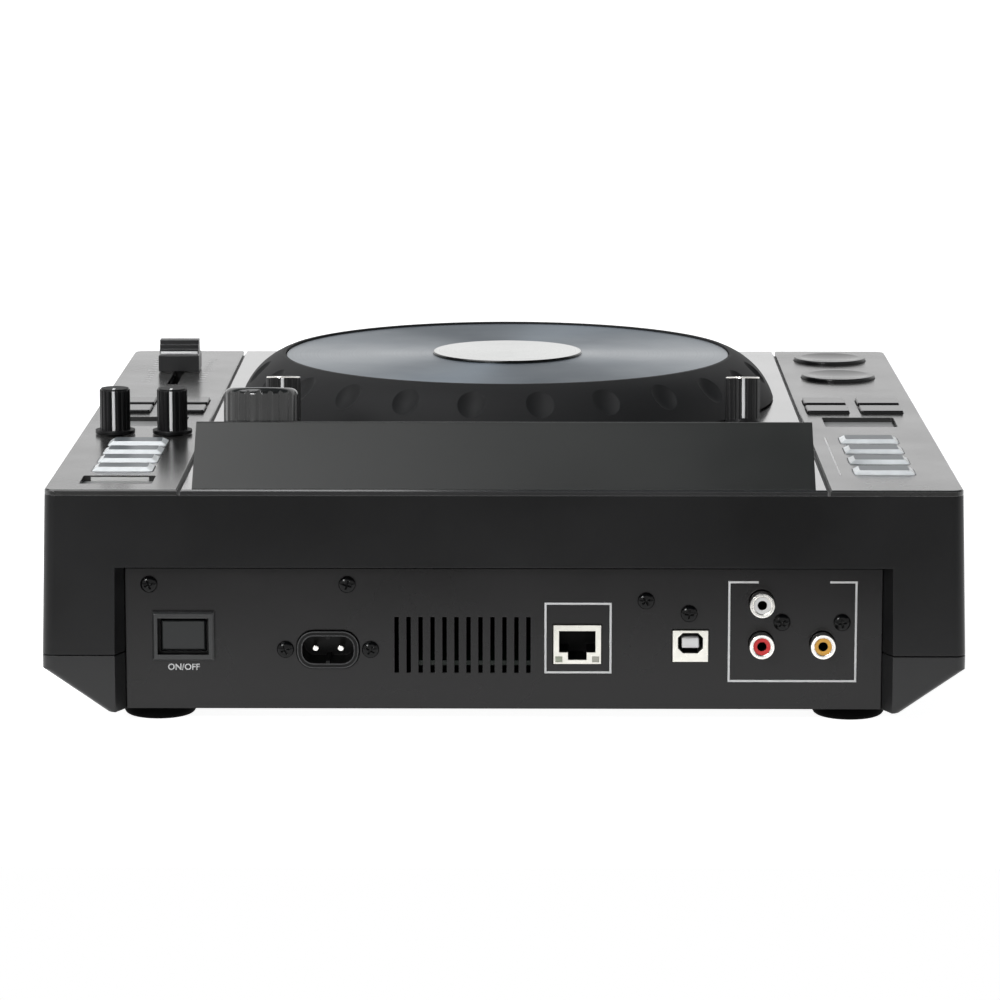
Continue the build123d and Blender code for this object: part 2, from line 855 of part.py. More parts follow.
# Mains inlet: a collar through the panel, a screwed flange behind it and two pins
inlet_front_y = panel_face_y + inlet_rise
with BuildPart() as mains_inlet:
    with BuildSketch(upright(inlet_front_y)):
        with Locations(inlet_spot):
            RectangleRounded(inlet_width, inlet_tall, inlet_corner)
    extrude(amount=inlet_depth)
    with BuildSketch(upright(panel_back_y)):
        with Locations(inlet_spot):
            RectangleRounded(inlet_flange_width, inlet_tall, inlet_corner)
        with Locations(*inlet_screws):
            Circle(screw_radius + screw_hole_gap, mode=Mode.SUBTRACT)
    extrude(amount=inlet_flange_thickness)
    with BuildSketch(upright(inlet_front_y)):
        with Locations(inlet_spot):
            RectangleRounded(
                inlet_width - 2 * inlet_wall, inlet_tall - 2 * inlet_wall, inlet_corner - inlet_wall
            )
            with GridLocations(1, inlet_tall - 2 * inlet_wall - inlet_key_depth, 1, 2):
                Rectangle(inlet_key_width, inlet_key_depth, mode=Mode.SUBTRACT)
    extrude(amount=inlet_cavity_depth, mode=Mode.SUBTRACT)
save(mains_inlet, "mains_inlet")

with BuildPart() as mains_pins:
    with BuildSketch(upright(inlet_front_y - pin_recess)):
        with Locations(inlet_spot):
            with GridLocations(pin_spacing, 1, 2, 1):
                Circle(pin_radius)
    extrude(amount=inlet_cavity_depth - pin_recess)
    fillet(mains_pins.faces().group_by(Axis.Y)[-1].edges(), pin_round)
save(mains_pins, "mains_pins")

# Network jack: a shielded box with a stepped port, latch side down
network_front_y = panel_face_y + network_rise
network_top = network_spot[1] + network_tall / 2
with BuildPart() as ethernet_jack:
    with BuildSketch(upright(network_front_y)):
        with Locations(network_spot):
            Rectangle(network_width, network_tall)
    extrude(amount=network_depth)
    with BuildSketch(upright(network_front_y)):
        with Locations((network_x, network_top - network_port_drop)):
            Rectangle(network_port_width, network_port_tall, align=(Align.CENTER, Align.MAX))
            Rectangle(
                network_latch_width, network_port_tall + network_latch_tall, align=(Align.CENTER, Align.MAX)
            )
    extrude(amount=network_port_depth, mode=Mode.SUBTRACT)
save(ethernet_jack, "ethernet_jack")

# Device USB jack: a square port with bevelled upper corners round a tongue
device_usb_front_y = panel_face_y + device_usb_rise
port_spot = (
    device_usb_x,
    device_usb_spot[1] + device_usb_tall / 2 - device_usb_port_drop - device_usb_port_tall / 2,
)
with BuildPart() as usb_b_jack:
    with BuildSketch(upright(device_usb_front_y)):
        with Locations(device_usb_spot):
            Rectangle(device_usb_width, device_usb_tall)
    extrude(amount=device_usb_depth)
    with BuildSketch(upright(device_usb_front_y)) as usb_b_port:
        with Locations(port_spot):
            Rectangle(device_usb_port_width, device_usb_port_tall)
        chamfer(usb_b_port.vertices().group_by(Axis.Z)[-1], device_usb_port_bevel)
    extrude(amount=device_usb_port_depth, mode=Mode.SUBTRACT)
    with BuildSketch(upright(device_usb_front_y - device_usb_tongue_recess)):
        with Locations(port_spot):
            Rectangle(device_usb_tongue_width, device_usb_tongue_tall)
    extrude(amount=device_usb_port_depth - device_usb_tongue_recess)
save(usb_b_jack, "usb_b_jack")

# Phono jacks: metal shells round coloured insulators
phono_front_y = panel_face_y + phono_rise
phono_inner_radius = phono_radius - phono_shell_wall
with BuildPart() as rca_shells:
    with BuildSketch(upright(phono_front_y)):
        with Locations(*phono_spots.values()):
            Circle(phono_radius)
            Circle(phono_inner_radius, mode=Mode.SUBTRACT)
    extrude(amount=phono_rise + phono_depth)
save(rca_shells, "rca_shells")

for colour, spot in phono_spots.items():
    with BuildPart() as insulator:
        with BuildSketch(upright(phono_front_y - phono_insulator_recess)):
            with Locations(spot):
                Circle(phono_inner_radius)
                Circle(phono_pin_hole, mode=Mode.SUBTRACT)
        extrude(amount=phono_rise + phono_depth - phono_insulator_recess)
    save(insulator, f"rca_insulator_{colour}")

# Side plates of the deck
for side, sign, keys in (("left", -1, left_keys), ("right", 1, right_keys)):
    with BuildPart() as control_plate:
        with BuildSketch(Plane.XY.offset(deck_z)):
            RectangleRounded(deck_width, deck_length, case_corner)
            with Locations((-sign * (deck_width / 2 - groove_x) / 2, 0)):
                Rectangle(deck_width / 2 + groove_x, deck_length, mode=Mode.SUBTRACT)
        extrude(amount=-plate_thickness)
        chamfer(control_plate.faces().sort_by(Axis.Z)[-1].edges(), plate_edge)
        extrude(key_holes(keys, key_gap), amount=-plate_thickness, mode=Mode.SUBTRACT)
        if side == "left":
            extrude(
                round_holes(transport_spots.values(), transport_radius + key_gap),
                amount=-plate_thickness,
                mode=Mode.SUBTRACT,
            )
        else:
            extrude(key_holes([stick_key], 0), amount=-plate_thickness, mode=Mode.SUBTRACT)
            extrude(
                round_holes(deck_knob_spots.values(), bushing_radius + bushing_gap),
                amount=-plate_thickness,
                mode=Mode.SUBTRACT,
            )
            extrude(
                slab(fader_spot, fader_slot_width, fader_slot_length),
                amount=-plate_thickness,
                mode=Mode.SUBTRACT,
            )
    save(control_plate, f"{side}_control_plate")

# Middle plate of the deck, under the display hood and the jog wheel
with BuildPart() as center_deck:
    with BuildSketch(Plane.XY.offset(deck_z)):
        Rectangle(2 * (groove_x - groove_width), deck_length)
    extrude(amount=-plate_thickness)
    chamfer(center_deck.faces().sort_by(Axis.Z)[-1].edges(), plate_edge)
    extrude(
        round_holes([(0, jog_y)], bearing_flange_radius + bearing_gap),
        amount=-plate_thickness,
        mode=Mode.SUBTRACT,
    )
    extrude(
        slab((0, from_rear(cable_slot_from_rear)), cable_slot_width, cable_slot_length),
        amount=-plate_thickness,
        mode=Mode.SUBTRACT,
    )
save(center_deck, "center_deck")

# Display hood: a wedge with a sloping face for the screen and knobs, hollow and open below
hood_front_y = from_rear(hood_depth)
hood_rear_y = from_rear(plate_edge)
with BuildPart() as display_housing:
    with BuildSketch(Plane.YZ):
        with BuildLine():
            Polyline(
                (hood_rear_y, deck_z),
                (from_rear(hood_ridge_from_rear), deck_z + hood_ridge_height),
                (hood_front_y, deck_z + hood_front_height),
                (hood_front_y - hood_front_lean, deck_z),
                close=True,
            )
        make_face()
    extrude(amount=hood_half_width, both=True)
    offset(amount=-hood_wall, openings=display_housing.faces().sort_by(Axis.Z)[0], kind=Kind.INTERSECTION)
    fillet(display_housing.edges().filter_by(Axis.X).sort_by(Axis.Z)[-1], hood_ridge_round)
    with BuildSketch(hood_face):
        with Locations((0, -screen_from_ridge)):
            Rectangle(window_width + 2 * window_gap, window_length + 2 * window_gap)
    extrude(amount=-window_thickness, mode=Mode.SUBTRACT)
    with BuildSketch(hood_face):
        with Locations((0, -screen_from_ridge)):
            Rectangle(window_width - 2 * window_ledge, window_length - 2 * window_ledge)
    extrude(amount=-hood_wall, mode=Mode.SUBTRACT)
    for plane in [browse_plane, *display_knob_planes.values()]:
        with BuildSketch(plane):
            Circle(bushing_radius + bushing_gap)
        extrude(amount=-hood_wall, mode=Mode.SUBTRACT)
    with BuildSketch(browse_plane):
        Circle(browse_radius + browse_seat_gap)
    extrude(amount=-browse_seat, mode=Mode.SUBTRACT)
save(display_housing, "display_housing")

with BuildPart() as display_window:
    with BuildSketch(hood_face):
        with Locations((0, -screen_from_ridge)):
            Rectangle(window_width, window_length)
    extrude(amount=-window_thickness)
save(display_window, "display_window")

with BuildPart() as display_module:
    with BuildSketch(hood_face.offset(-hood_wall)):
        with Locations((0, -screen_from_ridge)):
            Rectangle(window_width, window_length)
    extrude(amount=-screen_thickness)
save(display_module, "display_module")

# Main board on its standoffs, with a hole for the case post
with BuildPart() as main_board:
    with BuildSketch(Plane.XY.offset(main_board_top)):
        with Locations((main_board_x, main_board_y)):
            Rectangle(main_board_width, main_board_length)
        with Locations(*post_spots):
            Circle(post_radius + post_board_gap, mode=Mode.SUBTRACT)
    extrude(amount=-board_thickness)
save(main_board, "main_board")

# Power supply board with its transformer and capacitors
with BuildPart() as power_supply_board:
    with BuildSketch(Plane.XY.offset(supply_board_top)):
        with Locations((supply_board_x, supply_board_y)):
            Rectangle(supply_board_width, supply_board_length)
    extrude(amount=-board_thickness)
    with BuildSketch(Plane.XY.offset(supply_board_top)):
        with Locations((supply_board_x, board_rear_y - transformer_from_rear)):
            Rectangle(transformer_width, transformer_length)
    extrude(amount=transformer_height)
    with BuildSketch(Plane.XY.offset(supply_board_top)):
        with Locations((supply_board_x, board_rear_y - capacitor_from_rear)):
            with GridLocations(capacitor_pitch, 1, 2, 1):
                Circle(capacitor_radius)
    extrude(amount=capacitor_height)
save(power_supply_board, "power_supply_board")

# Switch boards under the columns, each with a switch below every key
switch_top = key_flange_z - key_travel - switch_clearance
switch_boards_plan = [
    (left_column_x, hot_cue_spots[0][1], transport_spots["play_button"][1], switch_board_end),
    (right_column_x, loop_spots[0][1], loop_spots[-1][1], switch_board_end),
    (right_column_x, well_spots["right"][1], mode_rows[-1], front_board_end),
]
switch_spots = [spot for spot, width, length in left_keys + right_keys]
switch_spots += transport_spots.values()
with BuildPart() as switch_boards:
    with BuildSketch(Plane.XY.offset(switch_board_top)):
        for x, first_y, last_y, front_end in switch_boards_plan:
            with Locations((x, (first_y + last_y + switch_board_end - front_end) / 2)):
                Rectangle(switch_board_width, first_y - last_y + switch_board_end + front_end)
    extrude(amount=-board_thickness)
    with BuildSketch(Plane.XY.offset(switch_board_top)):
        with Locations(*switch_spots):
            Rectangle(switch_side, switch_side)
    extrude(amount=switch_top - switch_board_top)
save(switch_boards, "switch_boards")

# Well and socket for the stick
with BuildPart() as usb_a_well:
    with BuildSketch(Plane.XY.offset(case_top)):
        with Locations(stick_spot):
            RectangleRounded(
                stick_well_width + 2 * stick_well_flange,
                stick_well_length + 2 * stick_well_flange,
                key_corner + stick_well_flange,
            )
            Rectangle(
                stick_port_width + 2 * stick_fit,
                stick_port_length + 2 * stick_fit,
                mode=Mode.SUBTRACT,
            )
    extrude(amount=-stick_well_floor)
save(usb_a_well, "usb_a_well")

with BuildPart() as usb_a_port:
    with BuildSketch(Plane.XY.offset(case_top)):
        with Locations(stick_spot):
            Rectangle(stick_port_width, stick_port_length)
    extrude(amount=-stick_port_depth)
    with BuildSketch(Plane.XY.offset(case_top)):
        with Locations(stick_spot):
            Rectangle(stick_port_width - 2 * stick_port_wall, stick_port_length - 2 * stick_port_wall)
    extrude(amount=-(stick_port_depth - stick_port_base), mode=Mode.SUBTRACT)
    with BuildSketch(Plane.XY.offset(case_top - stick_tongue_recess)):
        with Locations(stick_spot):
            Rectangle(stick_tongue_width, stick_tongue_length)
    extrude(amount=-(stick_port_depth - stick_port_base - stick_tongue_recess))
save(usb_a_port, "usb_a_port")


def key(node, spot, width, length, rise):
    """A flat keycap through the plate, with a flange under the plate that keeps it in."""
    with BuildPart() as cap:
        with BuildSketch(Plane.XY.offset(key_flange_z)):
            with Locations(spot):
                RectangleRounded(width + 2 * key_flange, length + 2 * key_flange, key_corner + key_flange)
        extrude(amount=key_flange_thickness)
        with BuildSketch(Plane.XY.offset(key_flange_z)):
            with Locations(spot):
                RectangleRounded(width, length, key_corner)
        extrude(amount=deck_z + rise - key_flange_z)
        chamfer(cap.faces().sort_by(Axis.Z)[-1].edges(), key_edge)
    save(cap, node)


def lit_key(node, spot, length):
    """A lit keycap: a sloping skirt round a smaller top."""
    with BuildPart() as cap:
        with BuildSketch(Plane.XY.offset(key_flange_z)):
            with Locations(spot):
                RectangleRounded(
                    lit_width + 2 * key_flange, length + 2 * key_flange, key_corner + key_flange
                )
        extrude(amount=key_flange_thickness)
        with BuildSketch(Plane.XY.offset(key_flange_z)):
            with Locations(spot):
                RectangleRounded(lit_width, length, key_corner)
        extrude(amount=deck_z + lit_shoulder - key_flange_z)
        with BuildSketch(Plane.XY.offset(deck_z + lit_shoulder)):
            with Locations(spot):
                RectangleRounded(lit_width, length, key_corner)
        with BuildSketch(Plane.XY.offset(deck_z + lit_rise)):
            with Locations(spot):
                RectangleRounded(lit_width - 2 * lit_skirt, length - 2 * lit_skirt, key_corner)
        loft(ruled=True)
    save(cap, node)


for number, spot in enumerate(hot_cue_spots, start=1):
    lit_key(f"hot_cue_button_{number}", spot, hot_cue_length)
for number, spot in enumerate(loop_spots, start=1):
    lit_key(f"loop_button_{number}", spot, loop_length)
for side, spots in mode_spots.items():
    for number, spot in enumerate(spots, start=1):
        key(f"{side}_mode_button_{number}", spot, mode_width, mode_length, mode_rise)
for side, spot in well_spots.items():
    key(f"{side}_well_button", spot, well_width, well_length, -well_drop)

# Cue and play buttons: round, with a dished top
for node, spot in transport_spots.items():
    with BuildPart() as transport_button:
        with BuildSketch(Plane.XY.offset(key_flange_z)):
            with Locations(spot):
                Circle(transport_radius + key_flange)
        extrude(amount=key_flange_thickness)
        with BuildSketch(Plane.XY.offset(key_flange_z)):
            with Locations(spot):
                Circle(transport_radius)
        extrude(amount=deck_z + transport_rise - key_flange_z)
        fillet(transport_button.faces().sort_by(Axis.Z)[-1].edges(), transport_edge)
        dish_z = deck_z + transport_rise - transport_dish_depth + transport_dish_radius
        with Locations((spot[0], spot[1], dish_z)):
            Sphere(transport_dish_radius, mode=Mode.SUBTRACT)
    save(transport_button, node)


def fluted_knob(node, base, radius, height, flange_radius, flange_height, stack):
    """A tall fluted knob on its shaft, with a pointer groove that faces the rear."""
    with BuildPart() as knob:
        with BuildSketch(base.offset(knob_lift)):
            Circle(flange_radius)
        extrude(amount=flange_height)
        with BuildSketch(base.offset(knob_lift)):
            Circle(radius)
            with PolarLocations(radius + flute_radius - flute_depth, flute_count):
                Circle(flute_radius, mode=Mode.SUBTRACT)
        extrude(amount=height - knob_cap)
        with BuildSketch(base.offset(knob_lift)):
            Circle(radius - knob_cap_inset)
        extrude(amount=height)
        with BuildSketch(base.offset(knob_lift + flange_height)):
            with Locations((0, radius)):
                Rectangle(pointer_width, 2 * pointer_depth)
        extrude(amount=height - flange_height, mode=Mode.SUBTRACT)
        with BuildSketch(base.offset(knob_lift)):
            Circle(shaft_radius)
        extrude(amount=-(knob_lift + stack + rotary_body_height / 2))
    save(knob, node)


for node, plane in deck_knob_planes.items():
    fluted_knob(
        node,
        plane,
        deck_knob_radius,
        deck_knob_height,
        deck_knob_flange_radius,
        deck_knob_flange,
        deck_stack,
    )
for node, plane in display_knob_planes.items():
    fluted_knob(
        node,
        plane,
        display_knob_radius,
        display_knob_height,
        display_knob_radius,
        deck_knob_flange,
        hood_wall,
    )

# Browse knob: wide flutes and a rounded top, in a shallow seat, sliding in the encoder's rotor
browse_base = knob_lift + browse_travel - browse_seat
browse_axis = Axis(browse_plane.origin, browse_plane.z_dir)
with BuildPart() as browse_knob:
    with BuildSketch(browse_plane.offset(browse_base)):
        Circle(browse_radius)
    extrude(amount=browse_height)
    fillet(browse_knob.faces().sort_by(browse_axis)[-1].edges(), browse_crown)
    with BuildSketch(browse_plane.offset(browse_base)):
        with PolarLocations(browse_radius + browse_flute_radius - browse_flute_depth, browse_flute_count):
            Circle(browse_flute_radius)
    extrude(amount=browse_height, mode=Mode.SUBTRACT)
    with BuildSketch(browse_plane.offset(browse_base)):
        Circle(shaft_radius)
    extrude(amount=-(browse_base + hood_wall + encoder_height / 2))
save(browse_knob, "browse_knob")

rotor_top = -(hood_wall + encoder_height / 2 - rotor_height / 2)
with BuildPart() as browse_rotor:
    with BuildSketch(browse_plane.offset(rotor_top)):
        Circle(rotor_radius)
        Circle(shaft_radius + shaft_fit, mode=Mode.SUBTRACT)
    extrude(amount=-rotor_height)
save(browse_rotor, "browse_rotor")

# Bodies of the potentiometers and of the browse encoder, with bushings through the deck and hood
rotary_mounts = [(plane, deck_stack) for plane in deck_knob_planes.values()]
rotary_mounts += [(plane, hood_wall) for plane in display_knob_planes.values()]
with BuildPart() as rotary_control_bodies:
    for plane, stack in rotary_mounts:
        with BuildSketch(plane):
            Circle(bushing_radius)
        extrude(amount=-stack)
        with BuildSketch(plane.offset(-stack)):
            Rectangle(rotary_body_width, rotary_body_length)
        extrude(amount=-rotary_body_height)
        with BuildSketch(plane):
            Circle(shaft_radius + shaft_fit)
        extrude(amount=-(stack + rotary_body_height - rotary_body_floor), mode=Mode.SUBTRACT)
    with BuildSketch(browse_plane.offset(-browse_seat)):
        Circle(bushing_radius)
    extrude(amount=browse_seat - hood_wall)
    with BuildSketch(browse_plane.offset(-hood_wall)):
        Rectangle(encoder_side, encoder_side)
    extrude(amount=-encoder_height)
    with BuildSketch(browse_plane):
        Circle(shaft_radius + shaft_fit)
    extrude(amount=-(hood_wall + encoder_height - rotary_body_floor), mode=Mode.SUBTRACT)
    with BuildSketch(browse_plane.offset(rotor_top + rotor_play)):
        Circle(rotor_radius + shaft_fit)
    extrude(amount=-(rotor_height + 2 * rotor_play), mode=Mode.SUBTRACT)
save(rotary_control_bodies, "rotary_control_bodies")

# Pitch fader: a slotted body under the plate and a stepped cap on its stem
fader_track_length = 2 * fader_travel + fader_stem_length + 2 * fader_body_wall
with BuildPart() as pitch_fader_body:
    with BuildSketch(Plane.XY.offset(case_top)):
        with Locations(fader_spot):
            Rectangle(fader_body_width, fader_body_length)
    extrude(amount=-fader_body_height)
    with BuildSketch(Plane.XY.offset(case_top)):
        with Locations(fader_spot):
            Rectangle(fader_stem_width + 2 * fader_body_gap, fader_track_length)
    extrude(amount=-(fader_body_height - fader_body_wall), mode=Mode.SUBTRACT)
save(pitch_fader_body, "pitch_fader_body")

fader_cap_z = deck_z + fader_cap_lift
with BuildPart() as pitch_fader_cap:
    with BuildSketch(Plane.XY.offset(fader_cap_z)):
        with Locations(fader_spot):
            Rectangle(fader_cap_width, fader_cap_length)
    extrude(amount=fader_cap_base)
    chamfer(pitch_fader_cap.faces().sort_by(Axis.Z)[-1].edges(), fader_cap_edge)
    for tier in range(fader_tiers):
        with BuildSketch(Plane.XY.offset(fader_cap_z + fader_cap_base + tier * fader_tier_height)):
            with Locations(fader_spot):
                Rectangle(fader_grip_width, fader_grip_length - 2 * tier * fader_tier_step)
        extrude(amount=fader_tier_height)
    with BuildSketch(Plane.XY.offset(fader_cap_z)):
        with Locations(fader_spot):
            Rectangle(fader_stem_width, fader_stem_length)
    extrude(amount=-(fader_cap_lift + plate_thickness + fader_stem_reach))
save(pitch_fader_cap, "pitch_fader_cap")

# Jog wheel: a ring with thumb dimples round a flat plate, turning on a shaft in a flanged bearing
jog_section = Plane(origin=(0, jog_y, deck_z), x_dir=(1, 0, 0), z_dir=(0, -1, 0))
jog_axis = Axis((0, jog_y, 0), (0, 0, 1))
ring_top = jog_plate_height + jog_ring_lip_rise
ring_seat_radius = jog_plate_radius + jog_plate_fit
ring_lip_radius = ring_seat_radius + jog_ring_lip_width
ring_ledge_top = jog_plate_height - jog_plate_thickness
ring_ledge_bottom = ring_ledge_top - jog_ring_ledge_thickness
ring_ledge_radius = jog_plate_radius - jog_ring_ledge
with BuildPart() as dimple:
    with BuildSketch(Plane.XZ):
        Ellipse(dimple_radius, dimple_reach)
        with Locations((-dimple_radius / 2, 0)):
            Rectangle(dimple_radius, 2 * dimple_reach, mode=Mode.SUBTRACT)
    revolve(axis=Axis.Z)

with BuildPart() as jog_ring:
    with BuildSketch(jog_section):
        with BuildLine():
            ThreePointArc(
                (ring_lip_radius, ring_top),
                (jog_ring_radius - jog_ring_bulge_inset, jog_ring_bulge_height),
                (jog_ring_radius, jog_ring_lift),
            )
            Polyline(
                (jog_ring_radius, jog_ring_lift),
                (jog_ring_radius - jog_ring_wall, jog_ring_lift),
                (ring_seat_radius, ring_ledge_bottom),
                (ring_ledge_radius, ring_ledge_bottom),
                (ring_ledge_radius, ring_ledge_top),
                (ring_seat_radius, ring_ledge_top),
                (ring_seat_radius, ring_top),
                (ring_lip_radius, ring_top),
            )
        make_face()
    revolve(axis=jog_axis)
    with Locations((0, jog_y, deck_z + dimple_center_height)):
        with PolarLocations(jog_ring_radius - dimple_inset, dimple_count, start_angle=180 / dimple_count):
            add(dimple.part, rotation=(0, -dimple_lean, 0), mode=Mode.SUBTRACT)
save(jog_ring, "jog_ring")

with BuildPart() as jog_plate:
    with BuildSketch(Plane.XY.offset(deck_z + jog_plate_height)):
        with Locations((0, jog_y)):
            Circle(jog_plate_radius)
    extrude(amount=-jog_plate_thickness)
    chamfer(jog_plate.faces().sort_by(Axis.Z)[-1].edges(), jog_plate_edge)
    with BuildSketch(Plane.XY.offset(deck_z + hub_gap)):
        with Locations((0, jog_y)):
            Circle(hub_radius)
    extrude(amount=jog_plate_height - jog_plate_thickness - hub_gap)
    with BuildSketch(Plane.XY.offset(deck_z + hub_gap)):
        with Locations((0, jog_y)):
            Circle(jog_shaft_radius + shaft_fit)
    extrude(amount=jog_shaft_seat, mode=Mode.SUBTRACT)
save(jog_plate, "jog_plate")

with BuildPart() as jog_disc:
    with BuildSketch(Plane.XY.offset(deck_z + jog_plate_height)):
        with Locations((0, jog_y)):
            Circle(jog_disc_radius)
    extrude(amount=jog_disc_thickness)
    chamfer(jog_disc.faces().sort_by(Axis.Z)[-1].edges(), jog_disc_edge)
save(jog_disc, "jog_disc")

with BuildPart() as jog_shaft:
    with BuildSketch(Plane.XY.offset(deck_z + hub_gap + jog_shaft_seat)):
        with Locations((0, jog_y)):
            Circle(jog_shaft_radius)
    extrude(amount=-(hub_gap + jog_shaft_seat + plate_thickness + bearing_length + jog_shaft_tail))
save(jog_shaft, "jog_shaft")

with BuildPart() as jog_bearing:
    with BuildSketch(Plane.XY.offset(deck_z)):
        with Locations((0, jog_y)):
            Circle(bearing_flange_radius)
    extrude(amount=-plate_thickness)
    with BuildSketch(Plane.XY.offset(case_top)):
        with Locations((0, jog_y)):
            Circle(bearing_radius)
    extrude(amount=-bearing_length)
    with BuildSketch(Plane.XY.offset(deck_z)):
        with Locations((0, jog_y)):
            Circle(jog_shaft_radius + shaft_fit)
    extrude(amount=-(plate_thickness + bearing_length), mode=Mode.SUBTRACT)
save(jog_bearing, "jog_bearing")
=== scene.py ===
"""Looks for the table-top USB media player.

Materials, printed marks, small fittings, lights and camera.
"""
import json
import math

import bmesh
import bpy
from mathutils import Matrix, Vector


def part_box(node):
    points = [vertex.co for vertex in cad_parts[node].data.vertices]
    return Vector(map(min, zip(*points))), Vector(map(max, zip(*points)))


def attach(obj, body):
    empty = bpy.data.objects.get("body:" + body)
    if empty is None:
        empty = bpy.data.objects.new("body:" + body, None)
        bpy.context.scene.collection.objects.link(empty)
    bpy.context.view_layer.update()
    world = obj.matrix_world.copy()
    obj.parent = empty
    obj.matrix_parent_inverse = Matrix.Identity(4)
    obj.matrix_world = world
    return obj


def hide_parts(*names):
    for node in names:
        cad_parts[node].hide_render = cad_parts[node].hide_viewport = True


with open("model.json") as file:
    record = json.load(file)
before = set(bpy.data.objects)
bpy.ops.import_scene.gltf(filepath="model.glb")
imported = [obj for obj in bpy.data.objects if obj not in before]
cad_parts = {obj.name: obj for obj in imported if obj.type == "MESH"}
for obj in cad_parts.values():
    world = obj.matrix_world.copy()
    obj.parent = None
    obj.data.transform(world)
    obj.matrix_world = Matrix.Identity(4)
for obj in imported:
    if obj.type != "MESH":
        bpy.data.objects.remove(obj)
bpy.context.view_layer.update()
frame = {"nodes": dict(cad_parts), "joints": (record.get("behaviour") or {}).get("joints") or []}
nodes = frame["nodes"]
scene = bpy.context.scene
MM = 0.001
TO_METRES = Matrix.Scale(MM, 4)


# Node helpers

class Shader:
    """A node material with one Principled shader and short ways to add nodes to it."""

    def __init__(self, name, **inputs):
        self.material = bpy.data.materials.new(name)
        self.material.use_nodes = True
        self.tree = self.material.node_tree
        self.bsdf = self.tree.nodes["Principled BSDF"]
        self.coords = None
        for key, value in inputs.items():
            self.bsdf.inputs[key.replace("_", " ")].default_value = value

    def add(self, kind, **values):
        """A new node with some of its properties set."""
        node = self.tree.nodes.new("ShaderNode" + kind)
        for key, value in values.items():
            setattr(node, key, value)
        return node

    def link(self, source, target):
        self.tree.links.new(source, target)

    def feed(self, target, value):
        """Link an output to an input, or set the input to a colour or number."""
        if isinstance(value, bpy.types.NodeSocket):
            self.link(value, target)
        elif isinstance(value, tuple):
            target.default_value = (*value, 1.0)
        else:
            target.default_value = value

    def place(self):
        """Object coordinates, in metres."""
        if self.coords is None:
            self.coords = self.add("TexCoord").outputs["Object"]
        return self.coords

    def noise(self, size, detail=3.0, stretch=None):
        """Noise whose features are about size metres across."""
        source = self.place()
        if stretch is not None:
            mapping = self.add("Mapping")
            mapping.inputs["Scale"].default_value = stretch
            self.link(source, mapping.inputs["Vector"])
            source = mapping.outputs["Vector"]
        node = self.add("TexNoise")
        node.inputs["Scale"].default_value = 1.0 / size
        node.inputs["Detail"].default_value = detail
        self.link(source, node.inputs["Vector"])
        return node.outputs["Fac"]

    def remap(self, source, low, high, start=0.3, end=0.7):
        """Low to high, as the source goes from start to end."""
        node = self.add("MapRange")
        node.inputs["From Min"].default_value = start
        node.inputs["From Max"].default_value = end
        node.inputs["To Min"].default_value = low
        node.inputs["To Max"].default_value = high
        self.link(source, node.inputs["Value"])
        return node.outputs["Result"]

    def between(self, data_type, socket_type, factor, first, second):
        """The output of a Mix node, whose sockets share their names across types."""
        node = self.add("Mix", data_type=data_type)
        self.link(factor, node.inputs["Factor"])
        for name, value in (("A", first), ("B", second)):
            self.feed([s for s in node.inputs if (s.name, s.type) == (name, socket_type)][0], value)
        return [s for s in node.outputs if s.type == socket_type][0]

    def mix(self, factor, first, second):
        """A colour between two colours or colour outputs."""
        return self.between("RGBA", "RGBA", factor, first, second)

    def blend(self, factor, first, second):
        """A number between two numbers or outputs."""
        return self.between("FLOAT", "VALUE", factor, first, second)

    def vary(self, source, colour, dark, light):
        """A colour that goes from a darker to a lighter shade with a noise."""
        return self.mix(self.remap(source, 0.0, 1.0), shade(colour, dark), shade(colour, light))

    def math(self, operation, *sources):
        node = self.add("Math", operation=operation)
        for socket, source in zip(node.inputs, sources):
            self.link(source, socket)
        return node.outputs[0]

    def facing_up(self, start, end):
        """1 where the surface faces up, 0 where it is steeper."""
        geometry = self.add("NewGeometry")
        split = self.add("SeparateXYZ")
        self.link(geometry.outputs["Normal"], split.inputs["Vector"])
        return self.remap(split.outputs["Z"], 0.0, 1.0, start, end)

    def rounded_normal(self, radius):
        """Normals that make sharp edges look rounded."""
        bevel = self.add("Bevel", samples=6)
        bevel.inputs["Radius"].default_value = radius
        return bevel.outputs["Normal"]

    def edge_mask(self, normal):
        """1 on an edge, where the rounded normal leaves the true one, and 0 beside it."""
        geometry = self.add("NewGeometry")
        dot = self.add("VectorMath", operation="DOT_PRODUCT")
        self.link(normal, dot.inputs[0])
        self.link(geometry.outputs["Normal"], dot.inputs[1])
        return self.remap(dot.outputs["Value"], 1.0, 0.0, start=0.78, end=0.985)

    def bump(self, height, strength, distance, normal=None):
        """Raise the surface's normals by a height, on top of other normals if there are any."""
        node = self.add("Bump")
        node.inputs["Strength"].default_value = strength
        node.inputs["Distance"].default_value = distance
        self.link(height, node.inputs["Height"])
        if normal is not None:
            self.link(normal, node.inputs["Normal"])
        self.link(node.outputs["Normal"], self.bsdf.inputs["Normal"])

    def colour(self, socket):
        self.link(socket, self.bsdf.inputs["Base Color"])

    def roughness(self, socket):
        self.link(socket, self.bsdf.inputs["Roughness"])


def shade(colour, factor):
    """A colour made lighter or darker."""
    return tuple(min(1.0, channel * factor) for channel in colour)


